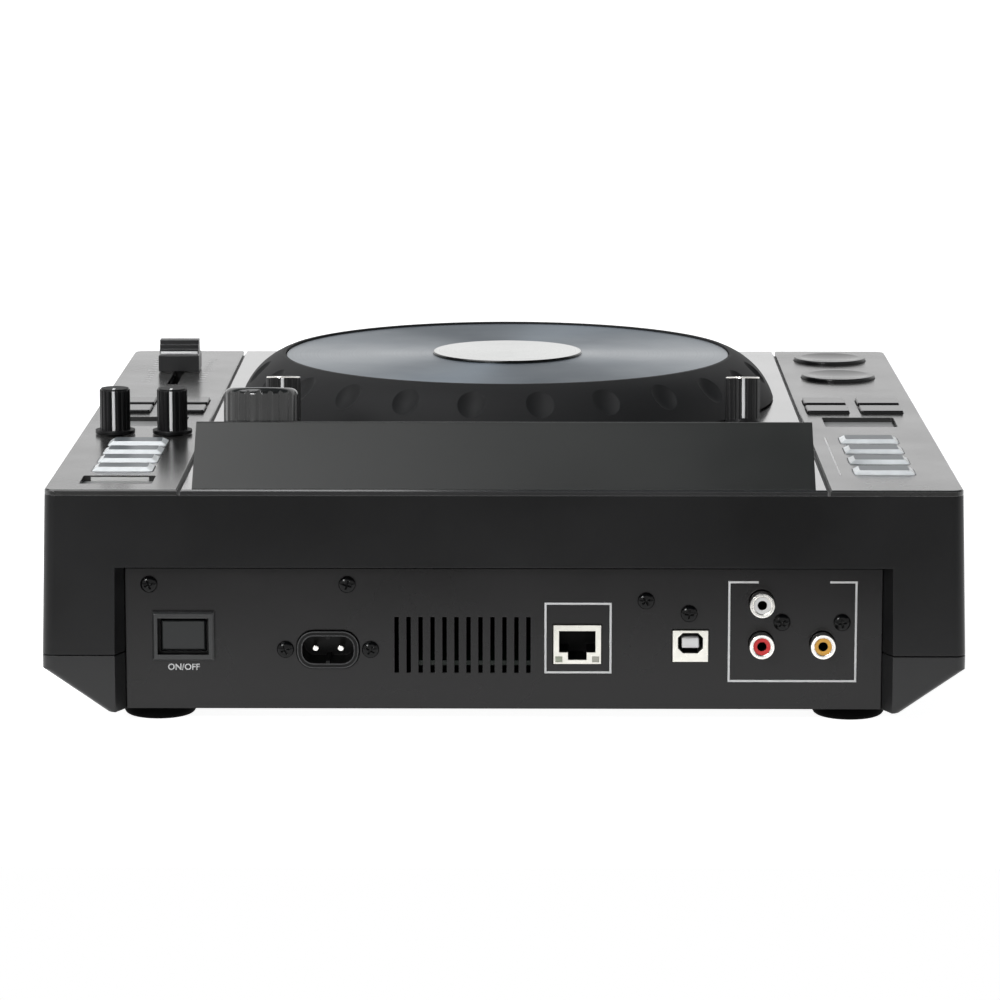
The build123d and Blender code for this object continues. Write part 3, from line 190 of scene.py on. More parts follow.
def moulded(
    name, colour, rough, specular=0.5, grain=0.0006, depth=0.00004, edge_wear_and_highlight=2.2, edge=0.0005, top=None,
    **extra,
):
    """Moulded or coated surface: fine grain, cloudy gloss, and edges lightened as wear and painted
    highlight.

    Grain, depth and edge are in metres. Edges are edge_wear_and_highlight times as light as the
    rest, partly rubbed wear and partly a painted highlight. Top is the roughness of faces that look
    up, where it is not that of the rest.
    """
    shader = Shader(name, Specular_IOR_Level=specular, **extra)
    cloud = shader.noise(size=0.045, detail=4.0)
    fine = shader.noise(size=grain, detail=2.0)
    normal = shader.rounded_normal(edge)
    body = shader.vary(cloud, colour, dark=0.86, light=1.14)
    # Painted highlight and wear: edges are made lighter in patches, as rubbed wear and as a
    # highlight painted where light would catch them
    patches = shader.remap(shader.noise(size=0.006), 0.25, 0.9)
    wear_and_highlight_mask = shader.math("MULTIPLY", shader.edge_mask(normal), patches)
    shader.colour(shader.mix(wear_and_highlight_mask, body, shade(colour, edge_wear_and_highlight)))
    gloss = shader.remap(cloud, rough - 0.05, rough + 0.05)
    if top is not None:
        gloss = shader.blend(shader.facing_up(start=0.9, end=0.97), gloss, top)
    shader.roughness(gloss)
    shader.bump(fine, strength=0.35, distance=depth, normal=normal)
    return shader.material


def plain_metal(name, colour, rough, stretch=None):
    """Bare or plated metal with fine drawn lines and faint tarnish."""
    shader = Shader(name, Metallic=1.0)
    cloud = shader.noise(size=0.006, detail=4.0)
    lines = shader.noise(size=0.0012, stretch=stretch)
    shader.colour(shader.vary(cloud, colour, dark=0.88, light=1.06))
    shader.roughness(shader.remap(lines, rough - 0.06, rough + 0.08))
    normal = shader.rounded_normal(radius=0.00025)
    shader.bump(lines, strength=0.25, distance=0.00001, normal=normal)
    return shader.material


def spun_metal(name, colour, rough, anisotropy, pitch, depth, centre):
    """Turned metal: fine rings round a centre, a stretched highlight, and steep sides painted near
    black as shade.
    """
    shader = Shader(name, Metallic=1.0, Anisotropic=anisotropy, Anisotropic_Rotation=0.25)
    mapping = shader.add("Mapping")
    mapping.inputs["Location"].default_value = (-centre.x, -centre.y, 0.0)
    shader.link(shader.place(), mapping.inputs["Vector"])
    split = shader.add("SeparateXYZ")
    shader.link(mapping.outputs["Vector"], split.inputs["Vector"])
    squares = [shader.math("MULTIPLY", split.outputs[axis], split.outputs[axis]) for axis in "XY"]
    radius = shader.math("SQRT", shader.math("ADD", *squares))
    rings = shader.add("TexNoise", noise_dimensions="1D")
    rings.inputs["Scale"].default_value = 1.0 / pitch
    rings.inputs["Detail"].default_value = 2.0
    shader.link(radius, rings.inputs["W"])
    turned = shader.vary(rings.outputs["Fac"], colour, dark=0.9, light=1.1)
    # Painted shade: faces steeper than the top, such as the disc's rim, are painted near black
    flat = shader.facing_up(start=0.8, end=0.95)
    shader.colour(shader.mix(flat, shade(colour, 0.06), turned))
    shader.roughness(shader.remap(shader.noise(size=0.03), rough - 0.03, rough + 0.03))
    shader.bump(rings.outputs["Fac"], strength=0.2, distance=depth)
    tangent = shader.add("Tangent", direction_type="RADIAL", axis="Z")
    shader.link(tangent.outputs["Tangent"], shader.bsdf.inputs["Tangent"])
    return shader.material


def lit_plastic(name, top, skirt, top_rough=0.36):
    """Key that can light up: a pale sloping skirt and a darker, duller flat top."""
    shader = Shader(name, Specular_IOR_Level=0.22)
    flat = shader.facing_up(start=0.93, end=0.97)
    cloud = shader.noise(size=0.004)
    pale = shader.vary(cloud, skirt, dark=0.93, light=1.05)
    shader.colour(shader.mix(flat, pale, top))
    shader.roughness(shader.blend(flat, shader.remap(cloud, 0.14, 0.2), top_rough))
    shader.bump(shader.noise(size=0.0005, detail=2.0), strength=0.2, distance=0.00002)
    return shader.material


def board_lacquer(name, colour):
    """Circuit board: tracks show through green lacquer."""
    shader = Shader(name, Specular_IOR_Level=0.5)
    brick = shader.add("TexBrick")
    brick.inputs["Scale"].default_value = 90.0
    shader.link(shader.place(), brick.inputs["Vector"])
    shader.colour(shader.mix(brick.outputs["Fac"], colour, shade(colour, 1.8)))
    shader.roughness(shader.remap(shader.noise(size=0.01), 0.3, 0.45))
    return shader.material


def screen_face(name, dark, light):
    """Display that is off: near black with a fine dot grid."""
    shader = Shader(name, Specular_IOR_Level=0.4)
    checker = shader.add("TexChecker")
    checker.inputs["Scale"].default_value = 2600.0
    shader.link(shader.place(), checker.inputs["Vector"])
    shader.colour(shader.mix(checker.outputs["Fac"], dark, light))
    shader.roughness(shader.remap(shader.noise(size=0.02), 0.18, 0.26))
    return shader.material


# Materials

jog_low, jog_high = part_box("jog_plate")
jog_centre = (jog_low + jog_high) / 2

case_black = moulded(
    "case_black", (0.0042, 0.0042, 0.0046), rough=0.34, specular=0.31,
    grain=0.0007, depth=0.00005, edge_wear_and_highlight=1.6,
)
tray_black = moulded(
    "tray_black", (0.0046, 0.0046, 0.005), rough=0.34, specular=0.48,
    grain=0.0007, depth=0.00005, edge_wear_and_highlight=1.6,
)
hood_black = moulded(
    "hood_black", (0.0185, 0.0192, 0.018), rough=0.4, specular=0.5,
    grain=0.0005, depth=0.00003, edge_wear_and_highlight=3.0,
)
panel_black = moulded(
    "panel_black", (0.0066, 0.006, 0.0063), rough=0.28, specular=0.37,
    grain=0.0004, depth=0.00002, edge_wear_and_highlight=1.4,
)
# Strongly lightened edges: a painted highlight along the plates' edges and round their holes, with
# some wear
plate_black = moulded(
    "plate_black", (0.024, 0.0238, 0.0233), rough=0.24, specular=0.5,
    grain=0.0005, depth=0.000004, edge_wear_and_highlight=9.0, edge=0.0004, Coat_Weight=0.42, Coat_Roughness=0.22,
)
deck_gloss = moulded(
    "deck_gloss", (0.03, 0.03, 0.031), rough=0.16, specular=0.5,
    grain=0.0009, depth=0.000003, edge_wear_and_highlight=1.0, Coat_Weight=0.9, Coat_Roughness=0.1,
)
rubber_black = moulded(
    "rubber_black", (0.0015, 0.0015, 0.0015), rough=0.7, specular=0.03,
    grain=0.0005, depth=0.00006, edge_wear_and_highlight=1.2,
)
ring_rubber = moulded(
    "ring_rubber", (0.0165, 0.0165, 0.0172), rough=0.62, specular=0.2,
    grain=0.0004, depth=0.00004, edge_wear_and_highlight=1.3,
)
knob_black = moulded(
    "knob_black", (0.0028, 0.0028, 0.0032), rough=0.32, specular=0.24,
    grain=0.0004, depth=0.00001, edge_wear_and_highlight=3.0, top=0.55,
)
browse_black = moulded(
    "browse_black", (0.018, 0.0185, 0.018), rough=0.17, specular=0.62,
    grain=0.0006, depth=0.000003, edge_wear_and_highlight=1.5,
)
fader_black = moulded(
    "fader_black", (0.016, 0.0162, 0.017), rough=0.3, specular=0.45,
    grain=0.0004, depth=0.00001, edge_wear_and_highlight=5.0,
)
key_black = moulded(
    "key_black", (0.006, 0.006, 0.0064), rough=0.26, specular=0.34,
    grain=0.0004, depth=0.000005, edge_wear_and_highlight=1.0, top=0.14, Coat_Weight=0.08, Coat_Roughness=0.15,
)
transport_black = moulded(
    "transport_black", (0.006, 0.006, 0.0064), rough=0.24, specular=0.32,
    grain=0.0004, depth=0.000005, edge_wear_and_highlight=1.0, top=0.16, Coat_Weight=0.08, Coat_Roughness=0.16,
)
# Painted light: the light grey of the strip on the stick well's wall
painted_light_grey = moulded(
    "painted_light_grey", (0.76, 0.76, 0.75), rough=0.4, specular=0.4,
    grain=0.0003, depth=0.00001, edge_wear_and_highlight=1.0,
)
well_grey = moulded(
    "well_grey", (0.3, 0.3, 0.3), rough=0.42, specular=0.4,
    grain=0.0004, depth=0.00001, edge_wear_and_highlight=1.0,
)
bezel_black = moulded(
    "bezel_black", (0.03, 0.0306, 0.031), rough=0.32, specular=0.5,
    grain=0.0004, depth=0.00001, edge_wear_and_highlight=4.5,
)
switch_black = moulded(
    "switch_black", (0.0165, 0.0178, 0.018), rough=0.34, specular=0.4,
    grain=0.0004, depth=0.00002, edge_wear_and_highlight=5.0,
)
inlet_black = moulded(
    "inlet_black", (0.0022, 0.0022, 0.0022), rough=0.3, specular=0.2,
    grain=0.0006, depth=0.000005, edge_wear_and_highlight=2.0,
)
inner_grey = moulded("inner_grey", (0.02, 0.02, 0.02), rough=0.5, specular=0.3)
screw_black = moulded(
    "screw_black", (0.0018, 0.0018, 0.002), rough=0.11, specular=0.2,
    grain=0.0003, depth=0.000004, edge_wear_and_highlight=3.0,
)
# Colour of the painted highlights on the mains inlet's edges
painted_highlight_grey = moulded(
    "painted_highlight_grey", (0.07, 0.07, 0.071), rough=0.3, specular=0.4,
    grain=0.0003, depth=0.000006, edge_wear_and_highlight=1.4,
)
liner_black = moulded(
    "liner_black", (0.003, 0.003, 0.003), rough=0.5, specular=0.15,
    grain=0.0004, depth=0.00001, edge_wear_and_highlight=1.0,
)
white_plastic = moulded(
    "white_plastic", (0.93, 0.92, 0.9), rough=0.3, specular=0.5, depth=0.00001, edge_wear_and_highlight=1.0
)
red_plastic = moulded(
    "red_plastic", (0.72, 0.035, 0.035), rough=0.28, specular=0.5, depth=0.00001, edge_wear_and_highlight=1.3
)
orange_plastic = moulded(
    "orange_plastic", (0.9, 0.46, 0.07), rough=0.28, specular=0.5, depth=0.00001, edge_wear_and_highlight=1.2
)
paint_white = moulded(
    "paint_white", (0.92, 0.92, 0.92), rough=0.5, specular=0.3,
    grain=0.0002, depth=0.000004, edge_wear_and_highlight=1.0,
)
plate_paint = moulded(
    "plate_paint", (0.9, 0.9, 0.9), rough=0.2, specular=0.5,
    grain=0.0002, depth=0.000002, edge_wear_and_highlight=1.0, Coat_Weight=0.4, Coat_Roughness=0.18,
)
tongue_cream = moulded(
    "tongue_cream", (0.96, 0.94, 0.93), rough=0.4, specular=0.4, depth=0.00001, edge_wear_and_highlight=1.0
)
led_green = moulded(
    "led_green", (0.43, 0.46, 0.36), rough=0.25, specular=0.5, depth=0.000005, edge_wear_and_highlight=1.2
)
led_amber = moulded(
    "led_amber", (0.5, 0.49, 0.42), rough=0.25, specular=0.5, depth=0.000005, edge_wear_and_highlight=1.2
)
shell_tin = plain_metal("shell_tin", (0.8, 0.785, 0.72), rough=0.32, stretch=(1.0, 6.0, 1.0))
plated = plain_metal("plated", (0.9, 0.88, 0.84), rough=0.16, stretch=(1.0, 8.0, 1.0))
gold = plain_metal("gold", (0.85, 0.62, 0.25), rough=0.25)
shaft_steel = plain_metal("shaft_steel", (0.6, 0.6, 0.6), rough=0.3)
bearing_brass = plain_metal("bearing_brass", (0.72, 0.56, 0.26), rough=0.3)
jog_face = spun_metal(
    "jog_face", (0.136, 0.164, 0.194), rough=0.36,
    anisotropy=0.85, pitch=0.0006, depth=0.000004, centre=jog_centre,
)
disc_silver = spun_metal(
    "disc_silver", (0.62, 0.63, 0.62), rough=0.2,
    anisotropy=0.2, pitch=0.0005, depth=0.000002, centre=jog_centre,
)
lit_key = lit_plastic("lit_key", top=(0.14, 0.155, 0.168), skirt=(0.9, 0.93, 0.95))
board_green = board_lacquer("board_green", (0.003, 0.016, 0.007))
screen_off = screen_face("screen_off", dark=(0.004, 0.005, 0.007), light=(0.008, 0.01, 0.013))
window_glass = moulded(
    "window_glass", (0.012, 0.012, 0.014), rough=0.06, specular=0.5,
    grain=0.002, depth=0.000001, Transmission_Weight=0.55, IOR=1.5,
)

finish_of = {
    "upper_case": case_black,
    "lower_case": tray_black,
    "feet": rubber_black,
    "rear_panel": panel_black,
    "power_switch_bezel": bezel_black,
    "power_button": switch_black,
    "mains_inlet": inlet_black,
    "mains_pins": plated,
    "ethernet_jack": shell_tin,
    "usb_b_jack": shell_tin,
    "rca_shells": plated,
    "rca_insulator_white": white_plastic,
    "rca_insulator_red": red_plastic,
    "rca_insulator_orange": orange_plastic,
    "left_control_plate": plate_black,
    "right_control_plate": plate_black,
    "center_deck": deck_gloss,
    "display_housing": hood_black,
    "display_window": window_glass,
    "display_module": screen_off,
    "main_board": board_green,
    "power_supply_board": board_green,
    "switch_boards": board_green,
    "usb_a_well": well_grey,
    "left_well_button": well_grey,
    "right_well_button": well_grey,
    "usb_a_port": shell_tin,
    "browse_knob": browse_black,
    "pitch_fader_cap": fader_black,
    "jog_ring": ring_rubber,
    "jog_plate": jog_face,
    "jog_disc": disc_silver,
    "jog_shaft": shaft_steel,
    "jog_bearing": bearing_brass,
    "browse_rotor": inner_grey,
    "rotary_control_bodies": inner_grey,
    "pitch_fader_body": inner_grey,
    "case_screws": screw_black,
    "cue_button": transport_black,
    "play_button": transport_black,
}
for node_name, node in nodes.items():
    if node_name in finish_of:
        finish = finish_of[node_name]
    elif node_name.startswith(("hot_cue", "loop")):
        finish = lit_key
    elif node_name.endswith("_knob"):
        finish = knob_black
    else:
        finish = key_black
    node.data.materials.clear()
    node.data.materials.append(finish)


# Mesh helpers

CORNER_SIGNS = ((1, 1), (-1, 1), (-1, -1), (1, -1))
panel_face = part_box("rear_panel")[1].y


def mesh_object(name, work):
    """Put a finished bmesh in the scene as an object."""
    mesh = bpy.data.meshes.new(name)
    bmesh.ops.recalc_face_normals(work, faces=work.faces)
    work.to_mesh(mesh)
    work.free()
    made = bpy.data.objects.new(name, mesh)
    scene.collection.objects.link(made)
    return made


def add_piece(name, work, material, body):
    """Put a finished bmesh in the scene as a piece that rides on a body."""
    piece = mesh_object(name, work)
    piece.data.materials.append(material)
    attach(piece, body)


def evaluated_mesh(made):
    """A new mesh of an object, as its lettering or modifiers shape it."""
    bpy.context.view_layer.update()
    depsgraph = bpy.context.evaluated_depsgraph_get()
    return bpy.data.meshes.new_from_object(made.evaluated_get(depsgraph))


def cut(body_object, tool_object):
    """Take the tool's volume out of a mesh and drop the tool."""
    modifier = body_object.modifiers.new("cut", "BOOLEAN")
    modifier.operation = "DIFFERENCE"
    modifier.solver = "EXACT"
    modifier.use_self = True
    modifier.object = tool_object
    result = evaluated_mesh(body_object)
    body_object.modifiers.clear()
    body_object.data = result
    bpy.data.objects.remove(tool_object)
    return body_object


def add_box(work, low, high, matrix=None):
    """Add a box between two corners to a bmesh."""
    low, high = Vector(low), Vector(high)
    for vert in bmesh.ops.create_cube(work, size=1.0)["verts"]:
        vert.co = Vector(
            [(low[i] + high[i]) / 2 + vert.co[i] * (high[i] - low[i]) for i in range(3)]
        )
        if matrix is not None:
            vert.co = matrix @ vert.co


def bevel_edges(work, offset, segments):
    """Bevel all the edges of a bmesh."""
    bmesh.ops.bevel(
        work, geom=list(work.edges), offset=offset, segments=segments, affect="EDGES"
    )


def bridge(work, near, far):
    """Faces between two closed rings that have as many points."""
    count = len(near)
    for i in range(count):
        work.faces.new((near[i], near[(i + 1) % count], far[(i + 1) % count], far[i]))


def turned_rings(work, profile, matrix, steps):
    """A ring of points round local Z for each (radius, height) pair."""
    angles = [2 * math.pi * i / steps for i in range(steps)]
    return [
        [
            work.verts.new(matrix @ Vector((radius * math.cos(a), radius * math.sin(a), height)))
            for a in angles
        ]
        for radius, height in profile
    ]


def lathe(work, profile, matrix, steps=28):
    """Turn (radius, height) pairs round local Z, closed at both ends."""
    rings = turned_rings(work, profile, matrix, steps)
    for lower, upper in zip(rings, rings[1:]):
        bridge(work, lower, upper)
    work.faces.new(list(reversed(rings[0])))
    work.faces.new(rings[-1])


def tube(work, profile, matrix, steps=40):
    """Turn a closed profile of (radius, height) pairs round local Z into a ring."""
    rings = turned_rings(work, profile, matrix, steps)
    for near, far in zip(rings, rings[1:] + rings[:1]):
        bridge(work, near, far)


def rear_point(x, z, y):
    """A point on an upright plane, from millimetres across and up and metres back."""
    return Vector((x * MM, y, z * MM))


def rounded(x, z, width, height, radius, steps=6):
    """Outline of a rectangle with round corners, in millimetres."""
    outline = []
    for quarter, (sign_x, sign_z) in enumerate(CORNER_SIGNS):
        for step in range(steps + 1):
            angle = (quarter + step / steps) * math.pi / 2
            outline.append(
                (
                    x + sign_x * (width / 2 - radius) + radius * math.cos(angle),
                    z + sign_z * (height / 2 - radius) + radius * math.sin(angle),
                )
            )
    return outline


# Frames and lettering on the rear panel

PRINT_THICK = 0.00004
LINE_WIDTH = 0.72
LEAST_MITRE = 0.2
LABEL_SWELL = 0.06 * MM
NETWORK_FRAME = [(-14.2, 17.7), (-36.3, 17.7), (-36.3, 41.5), (-14.2, 41.5)]
AUDIO_FRAME = [
    (-86.4, 49.0), (-76.5, 49.0), (-76.5, 14.8), (-119.5, 14.8), (-119.5, 49.0), (-110.6, 49.0),
]


def printed_path(
    name, points, closed,
    face=panel_face, width=LINE_WIDTH, material=paint_white,
):
    """A printed line, or a painted highlight along an edge, of even width on an upright face, from
    millimetres.
    """
    count = len(points)
    sides = []
    for index, (x, z) in enumerate(points):
        here = Vector((x, z))
        ahead = Vector(points[(index + 1) % count]) - here
        back = here - Vector(points[index - 1])
        if not closed and index == 0:
            back = ahead
        if not closed and index == count - 1:
            ahead = back
        first = Vector((-back.y, back.x)).normalized()
        second = Vector((-ahead.y, ahead.x)).normalized()
        mitre = (first + second).normalized()
        mitre *= width / 2 / max(LEAST_MITRE, mitre.dot(first))
        sides.append((here + mitre, here - mitre))
    front = face + PRINT_THICK
    work = bmesh.new()
    sections = [
        [
            work.verts.new(rear_point(p.x, p.y, y))
            for p, y in ((left, front), (right, front), (right, face), (left, face))
        ]
        for left, right in sides
    ]
    for near, far in zip(sections, sections[1:]):
        bridge(work, near, far)
    if closed:
        bridge(work, sections[-1], sections[0])
    else:
        work.faces.new(sections[0])
        work.faces.new(sections[-1])
    add_piece(name, work, material, "base")


def label(name, text, size, x, z):
    """Generic lettering on the rear panel, centred at a point in millimetres."""
    curve = bpy.data.curves.new(name, "FONT")
    curve.body = text
    curve.size = size * MM
    curve.align_x = "CENTER"
    curve.align_y = "CENTER"
    curve.extrude = PRINT_THICK / 2
    curve.offset = LABEL_SWELL
    curve.resolution_u = 3
    text_object = bpy.data.objects.new(name + "_text", curve)
    scene.collection.objects.link(text_object)
    mesh = evaluated_mesh(text_object)
    bpy.data.objects.remove(text_object)
    turn = Matrix(((-1, 0, 0), (0, 0, 1), (0, 1, 0))).to_4x4()
    mesh.transform(Matrix.Translation(rear_point(x, z, panel_face + PRINT_THICK / 2)) @ turn)
    mesh.materials.clear()
    mesh.materials.append(paint_white)
    mesh.name = name
    piece = bpy.data.objects.new(name, mesh)
    scene.collection.objects.link(piece)
    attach(piece, "base")


printed_path("network_frame", NETWORK_FRAME, closed=True)
printed_path("audio_frame", AUDIO_FRAME, closed=False)
label("switch_label", "ON/OFF", size=3.0, x=108.8, z=19.3)


# Screws with cross recesses, in millimetres

HEAD_RADIUS = 2.9
HEAD_HEIGHT = 1.8
HEAD_RIM = 0.35
DOME_ANGLES = (0.0, 0.3, 0.6, 0.9, 1.15, 1.35, 1.5)
SHANK_RADIUS = 1.5
REAR_SHANK = 4.0
BOTTOM_SHANK = 20.0
CROSS_REACH = 1.55
CROSS_HALF = 0.3
CROSS_FLOOR = 0.75
CROSS_TOP = 3.0
ARM_STEP = 0.01
FIRST_TURN = 0.35
NEXT_TURN = 0.9
SHARP_ANGLE = math.radians(40)
REAR_SCREWS = [
    (120.3, 48.1), (53.1, 48.1), (-48.3, 42.6), (-62.9, 38.2), (-94.4, 35.2), (-114.8, 35.2),
    (45.25, 25.6), (74.15, 25.6),
]
BOTTOM_SCREWS = [(-104.0, 123.25), (-104.0, -151.25), (104.0, 123.25), (104.0, -151.25)]


def screw_matrix(place, axis, turn):
    """Local Z out of the head, turned a little so no two recesses line up."""
    outward = axis.to_track_quat("Z", "Y").to_matrix().to_4x4()
    return Matrix.Translation(place) @ outward @ Matrix.Rotation(turn, 4, "Z")


bottom_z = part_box("case_screws")[0].z + HEAD_HEIGHT * MM
places = [(rear_point(x, z, panel_face), Vector((0, 1, 0)), REAR_SHANK) for x, z in REAR_SCREWS]
places += [
    (Vector((x * MM, y * MM, bottom_z)), Vector((0, 0, -1)), BOTTOM_SHANK) for x, y in BOTTOM_SCREWS
]
dome = [
    (HEAD_RADIUS * math.cos(a), HEAD_HEIGHT * (HEAD_RIM + (1 - HEAD_RIM) * math.sin(a)))
    for a in DOME_ANGLES
]
heads, crosses = bmesh.new(), bmesh.new()
for index, (place, axis, shank) in enumerate(places):
    matrix = screw_matrix(place, axis, FIRST_TURN + NEXT_TURN * index) @ TO_METRES
    shank_profile = [(SHANK_RADIUS, -shank), (SHANK_RADIUS, 0.0)]
    lathe(heads, [*shank_profile, (HEAD_RADIUS, 0.0), *dome], matrix)
    # The second arm is a little larger, so that no faces of the two coincide
    for quarter in range(2):
        arm = matrix @ Matrix.Rotation(quarter * math.pi / 2, 4, "Z")
        half, low = CROSS_HALF + ARM_STEP * quarter, CROSS_FLOOR + ARM_STEP * quarter
        add_box(crosses, (-CROSS_REACH, -half, low), (CROSS_REACH, half, CROSS_TOP), arm)

screws = cut(mesh_object("cross_screws", heads), mesh_object("cross_tool", crosses))
screws.data.materials.clear()
screws.data.materials.append(screw_black)
for polygon in screws.data.polygons:
    polygon.use_smooth = True
screws.data.set_sharp_from_angle(angle=SHARP_ANGLE)
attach(screws, "base")
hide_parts("case_screws")


# Knobs: white pointers in their grooves, and bright rims on the hood's two, in millimetres

KNOB_LIFT = 0.4
KNOB_SIZES = {
    "inner_deck_knob": (5.5, 16.4),
    "outer_deck_knob": (5.5, 16.4),
    "left_display_knob": (6.1, 16.0),
    "right_display_knob": (6.1, 16.0),
}
SIDE_HALF = 0.55
SIDE_FOOT = 1.3
SIDE_TOP = 0.62
SIDE_INNER = 0.48
SIDE_OUTER = 0.02
TOP_HALF = 0.5
TOP_START = 1.2
TOP_END = 0.52
TOP_SINK = 0.02
TOP_PROUD = 0.05
RIM_PROFILE = [(-0.5, -0.58), (-0.08, -0.58), (-0.12, -0.14), (-0.5, 0.02)]
UPRIGHT = 0.999
joint_of = {joint["child"]: joint for joint in frame["joints"]}


def hood_frame(x, y):
    """Frame on the hood's sloping face under a point, Z along the knob's axis."""
    joint = [j for j in frame["joints"] if j["name"] == "browse_turn"][0]
    normal = Vector(joint["axis"]).normalized()
    origin = Vector(joint["pos_m"])
    height = origin.z - (normal.y * (y - origin.y)) / normal.z
    side = Vector((1, 0, 0))
    matrix = Matrix((side, normal.cross(side), normal)).transposed().to_4x4()
    matrix.translation = Vector((x, y, height))
    return matrix


def knob_frame(body):
    """Frame at a knob's foot, on the deck or on the hood."""
    place = Vector(joint_of[body]["pos_m"])
    if abs(joint_of[body]["axis"][2]) > UPRIGHT:
        return Matrix.Translation(place)
    return hood_frame(place.x, place.y)


for body, (radius, height) in KNOB_SIZES.items():
    base = knob_frame(body) @ TO_METRES
    top = KNOB_LIFT + height
    work = bmesh.new()
    add_box(
        work,
        (-SIDE_HALF, radius - SIDE_INNER, KNOB_LIFT + SIDE_FOOT),
        (SIDE_HALF, radius - SIDE_OUTER, top - SIDE_TOP),
        base,
    )
    add_box(
        work,
        (-TOP_HALF, TOP_START, top - TOP_SINK),
        (TOP_HALF, radius - TOP_END, top + TOP_PROUD),
        base,
    )
    add_piece(f"{body}_pointer", work, paint_white, body)
    if "display" in body:
        work = bmesh.new()
        tube(work, [(radius + r, top + z) for r, z in RIM_PROFILE], base)
        add_piece(f"{body}_rim", work, plated, body)


# Slider: white index lines at the foot of its grip, across its top and up its side

GRIP_HEIGHT = 5.25 * MM
GRIP_HALF = 4.7 * MM
INDEX_HALF = 7.6 * MM
SIDE_INDEX_HALF = 7.4 * MM
FOOT_START, FOOT_END, FOOT_THICK = 4.75 * MM, 5.7 * MM, 0.06 * MM
TOP_LINE_HALF = 0.45 * MM
INDEX_THICK = 0.03 * MM
SIDE_LINE = 0.95 * MM

cap_low, cap_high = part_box("pitch_fader_cap")
cap_mid = (cap_low + cap_high) / 2
step_z = cap_high.z - GRIP_HEIGHT
grip_y = cap_mid.y + GRIP_HALF
work = bmesh.new()
add_box(
    work,
    (cap_mid.x - INDEX_HALF, cap_mid.y + FOOT_START, step_z),
    (cap_mid.x + INDEX_HALF, cap_mid.y + FOOT_END, step_z + FOOT_THICK),
)
add_box(
    work,
    (cap_mid.x - INDEX_HALF, cap_mid.y - TOP_LINE_HALF, cap_high.z - INDEX_THICK),
    (cap_mid.x + INDEX_HALF, cap_mid.y + TOP_LINE_HALF, cap_high.z),
)
add_box(
    work,
    (cap_mid.x - SIDE_INDEX_HALF, grip_y, step_z),
    (cap_mid.x + SIDE_INDEX_HALF, grip_y + INDEX_THICK, step_z + SIDE_LINE),
)
add_piece("fader_index", work, paint_white, "pitch_fader")


# Painted highlights on the mains inlet's edges, and a black lining in the switch's mouth painted as
# shade

INLET_X, INLET_Z = 59.7, 25.6
INLET_PROUD = 1.2 * MM
INLET_HIGHLIGHTS = (("inlet_outer_highlight", 20.5, 12.4, 5.4), ("inlet_mouth_highlight", 17.9, 9.8, 4.1))
HIGHLIGHT_WIDTH = 0.36
MOUTH_LEVELS = ((17.28, 12.48, 0.05), (17.28, 12.48, 2.94), (15.9, 11.3, 2.94))

# Painted highlight: thin grey bands along the collar's outer and inner edges stand in for light
# caught on them
for name, width, height, radius in INLET_HIGHLIGHTS:
    outline = rounded(INLET_X, INLET_Z, width, height, radius)
    inlet_front = panel_face + INLET_PROUD
    printed_path(name, outline, True, inlet_front, HIGHLIGHT_WIDTH, painted_highlight_grey)

# Painted shade: a black lining in the switch's mouth darkens the gap round the button, where it is
# in shade
bezel_low, bezel_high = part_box("power_switch_bezel")
bezel_mid = (bezel_low + bezel_high) / 2
work = bmesh.new()
levels = []
for width, height, depth in MOUTH_LEVELS:
    corners = [
        (bezel_mid.x / MM + sign_x * width / 2, bezel_mid.z / MM + sign_z * height / 2)
        for sign_x, sign_z in CORNER_SIGNS
    ]
    levels.append(
        [work.verts.new(rear_point(x, z, bezel_high.y - depth * MM)) for x, z in corners]
    )
for near, far in zip(levels, levels[1:]):
    bridge(work, near, far)
add_piece("switch_mouth_shade", work, liner_black, "base")


# Network jack: black lining, contacts and lamps

NETWORK_X = -25.0
NETWORK_PORT = [
    (-31.2, 32.2), (-18.8, 32.2), (-18.8, 24.8), (-21.8, 24.8),
    (-21.8, 22.2), (-28.2, 22.2), (-28.2, 24.8), (-31.2, 24.8),
]
NETWORK_INSET, NETWORK_DEPTH = 0.3 * MM, 13.6
LINING_GAP = 0.06
CONTACTS = 8
CONTACT_PITCH = 1.02
CONTACT_Z = 31.9
CONTACT_INSET = 2.0 * MM
CONTACT_TILT = math.radians(-24)
CONTACT_HALF, CONTACT_LENGTH, CONTACT_HALF_THICK = 0.2 * MM, 9.5 * MM, 0.15 * MM
LAMPS = (("network_lamp_left", -18.75, led_green), ("network_lamp_right", -31.25, led_amber))
LAMP_HALF, LAMP_LOW, LAMP_HIGH = 1.2, 21.4, 23.4
LAMP_PROUD, LAMP_BEVEL = 0.12 * MM, 0.05 * MM


def lining(name, outline, y_front, depth, material, gap=LINING_GAP):
    """A thin lining inside a port: walls that follow its outline and a back, from millimetres."""
    work = bmesh.new()
    count = len(outline)
    centre = Vector((sum(p[0] for p in outline) / count, sum(p[1] for p in outline) / count))
    front, back = [], []
    for x, z in outline:
        inward = (centre - Vector((x, z))).normalized() * gap
        front.append(work.verts.new(rear_point(x + inward.x, z + inward.y, y_front)))
        back.append(work.verts.new(rear_point(x + inward.x, z + inward.y, y_front - depth * MM)))
    bridge(work, front, back)
    work.faces.new(back)
    add_piece(name, work, material, "base")


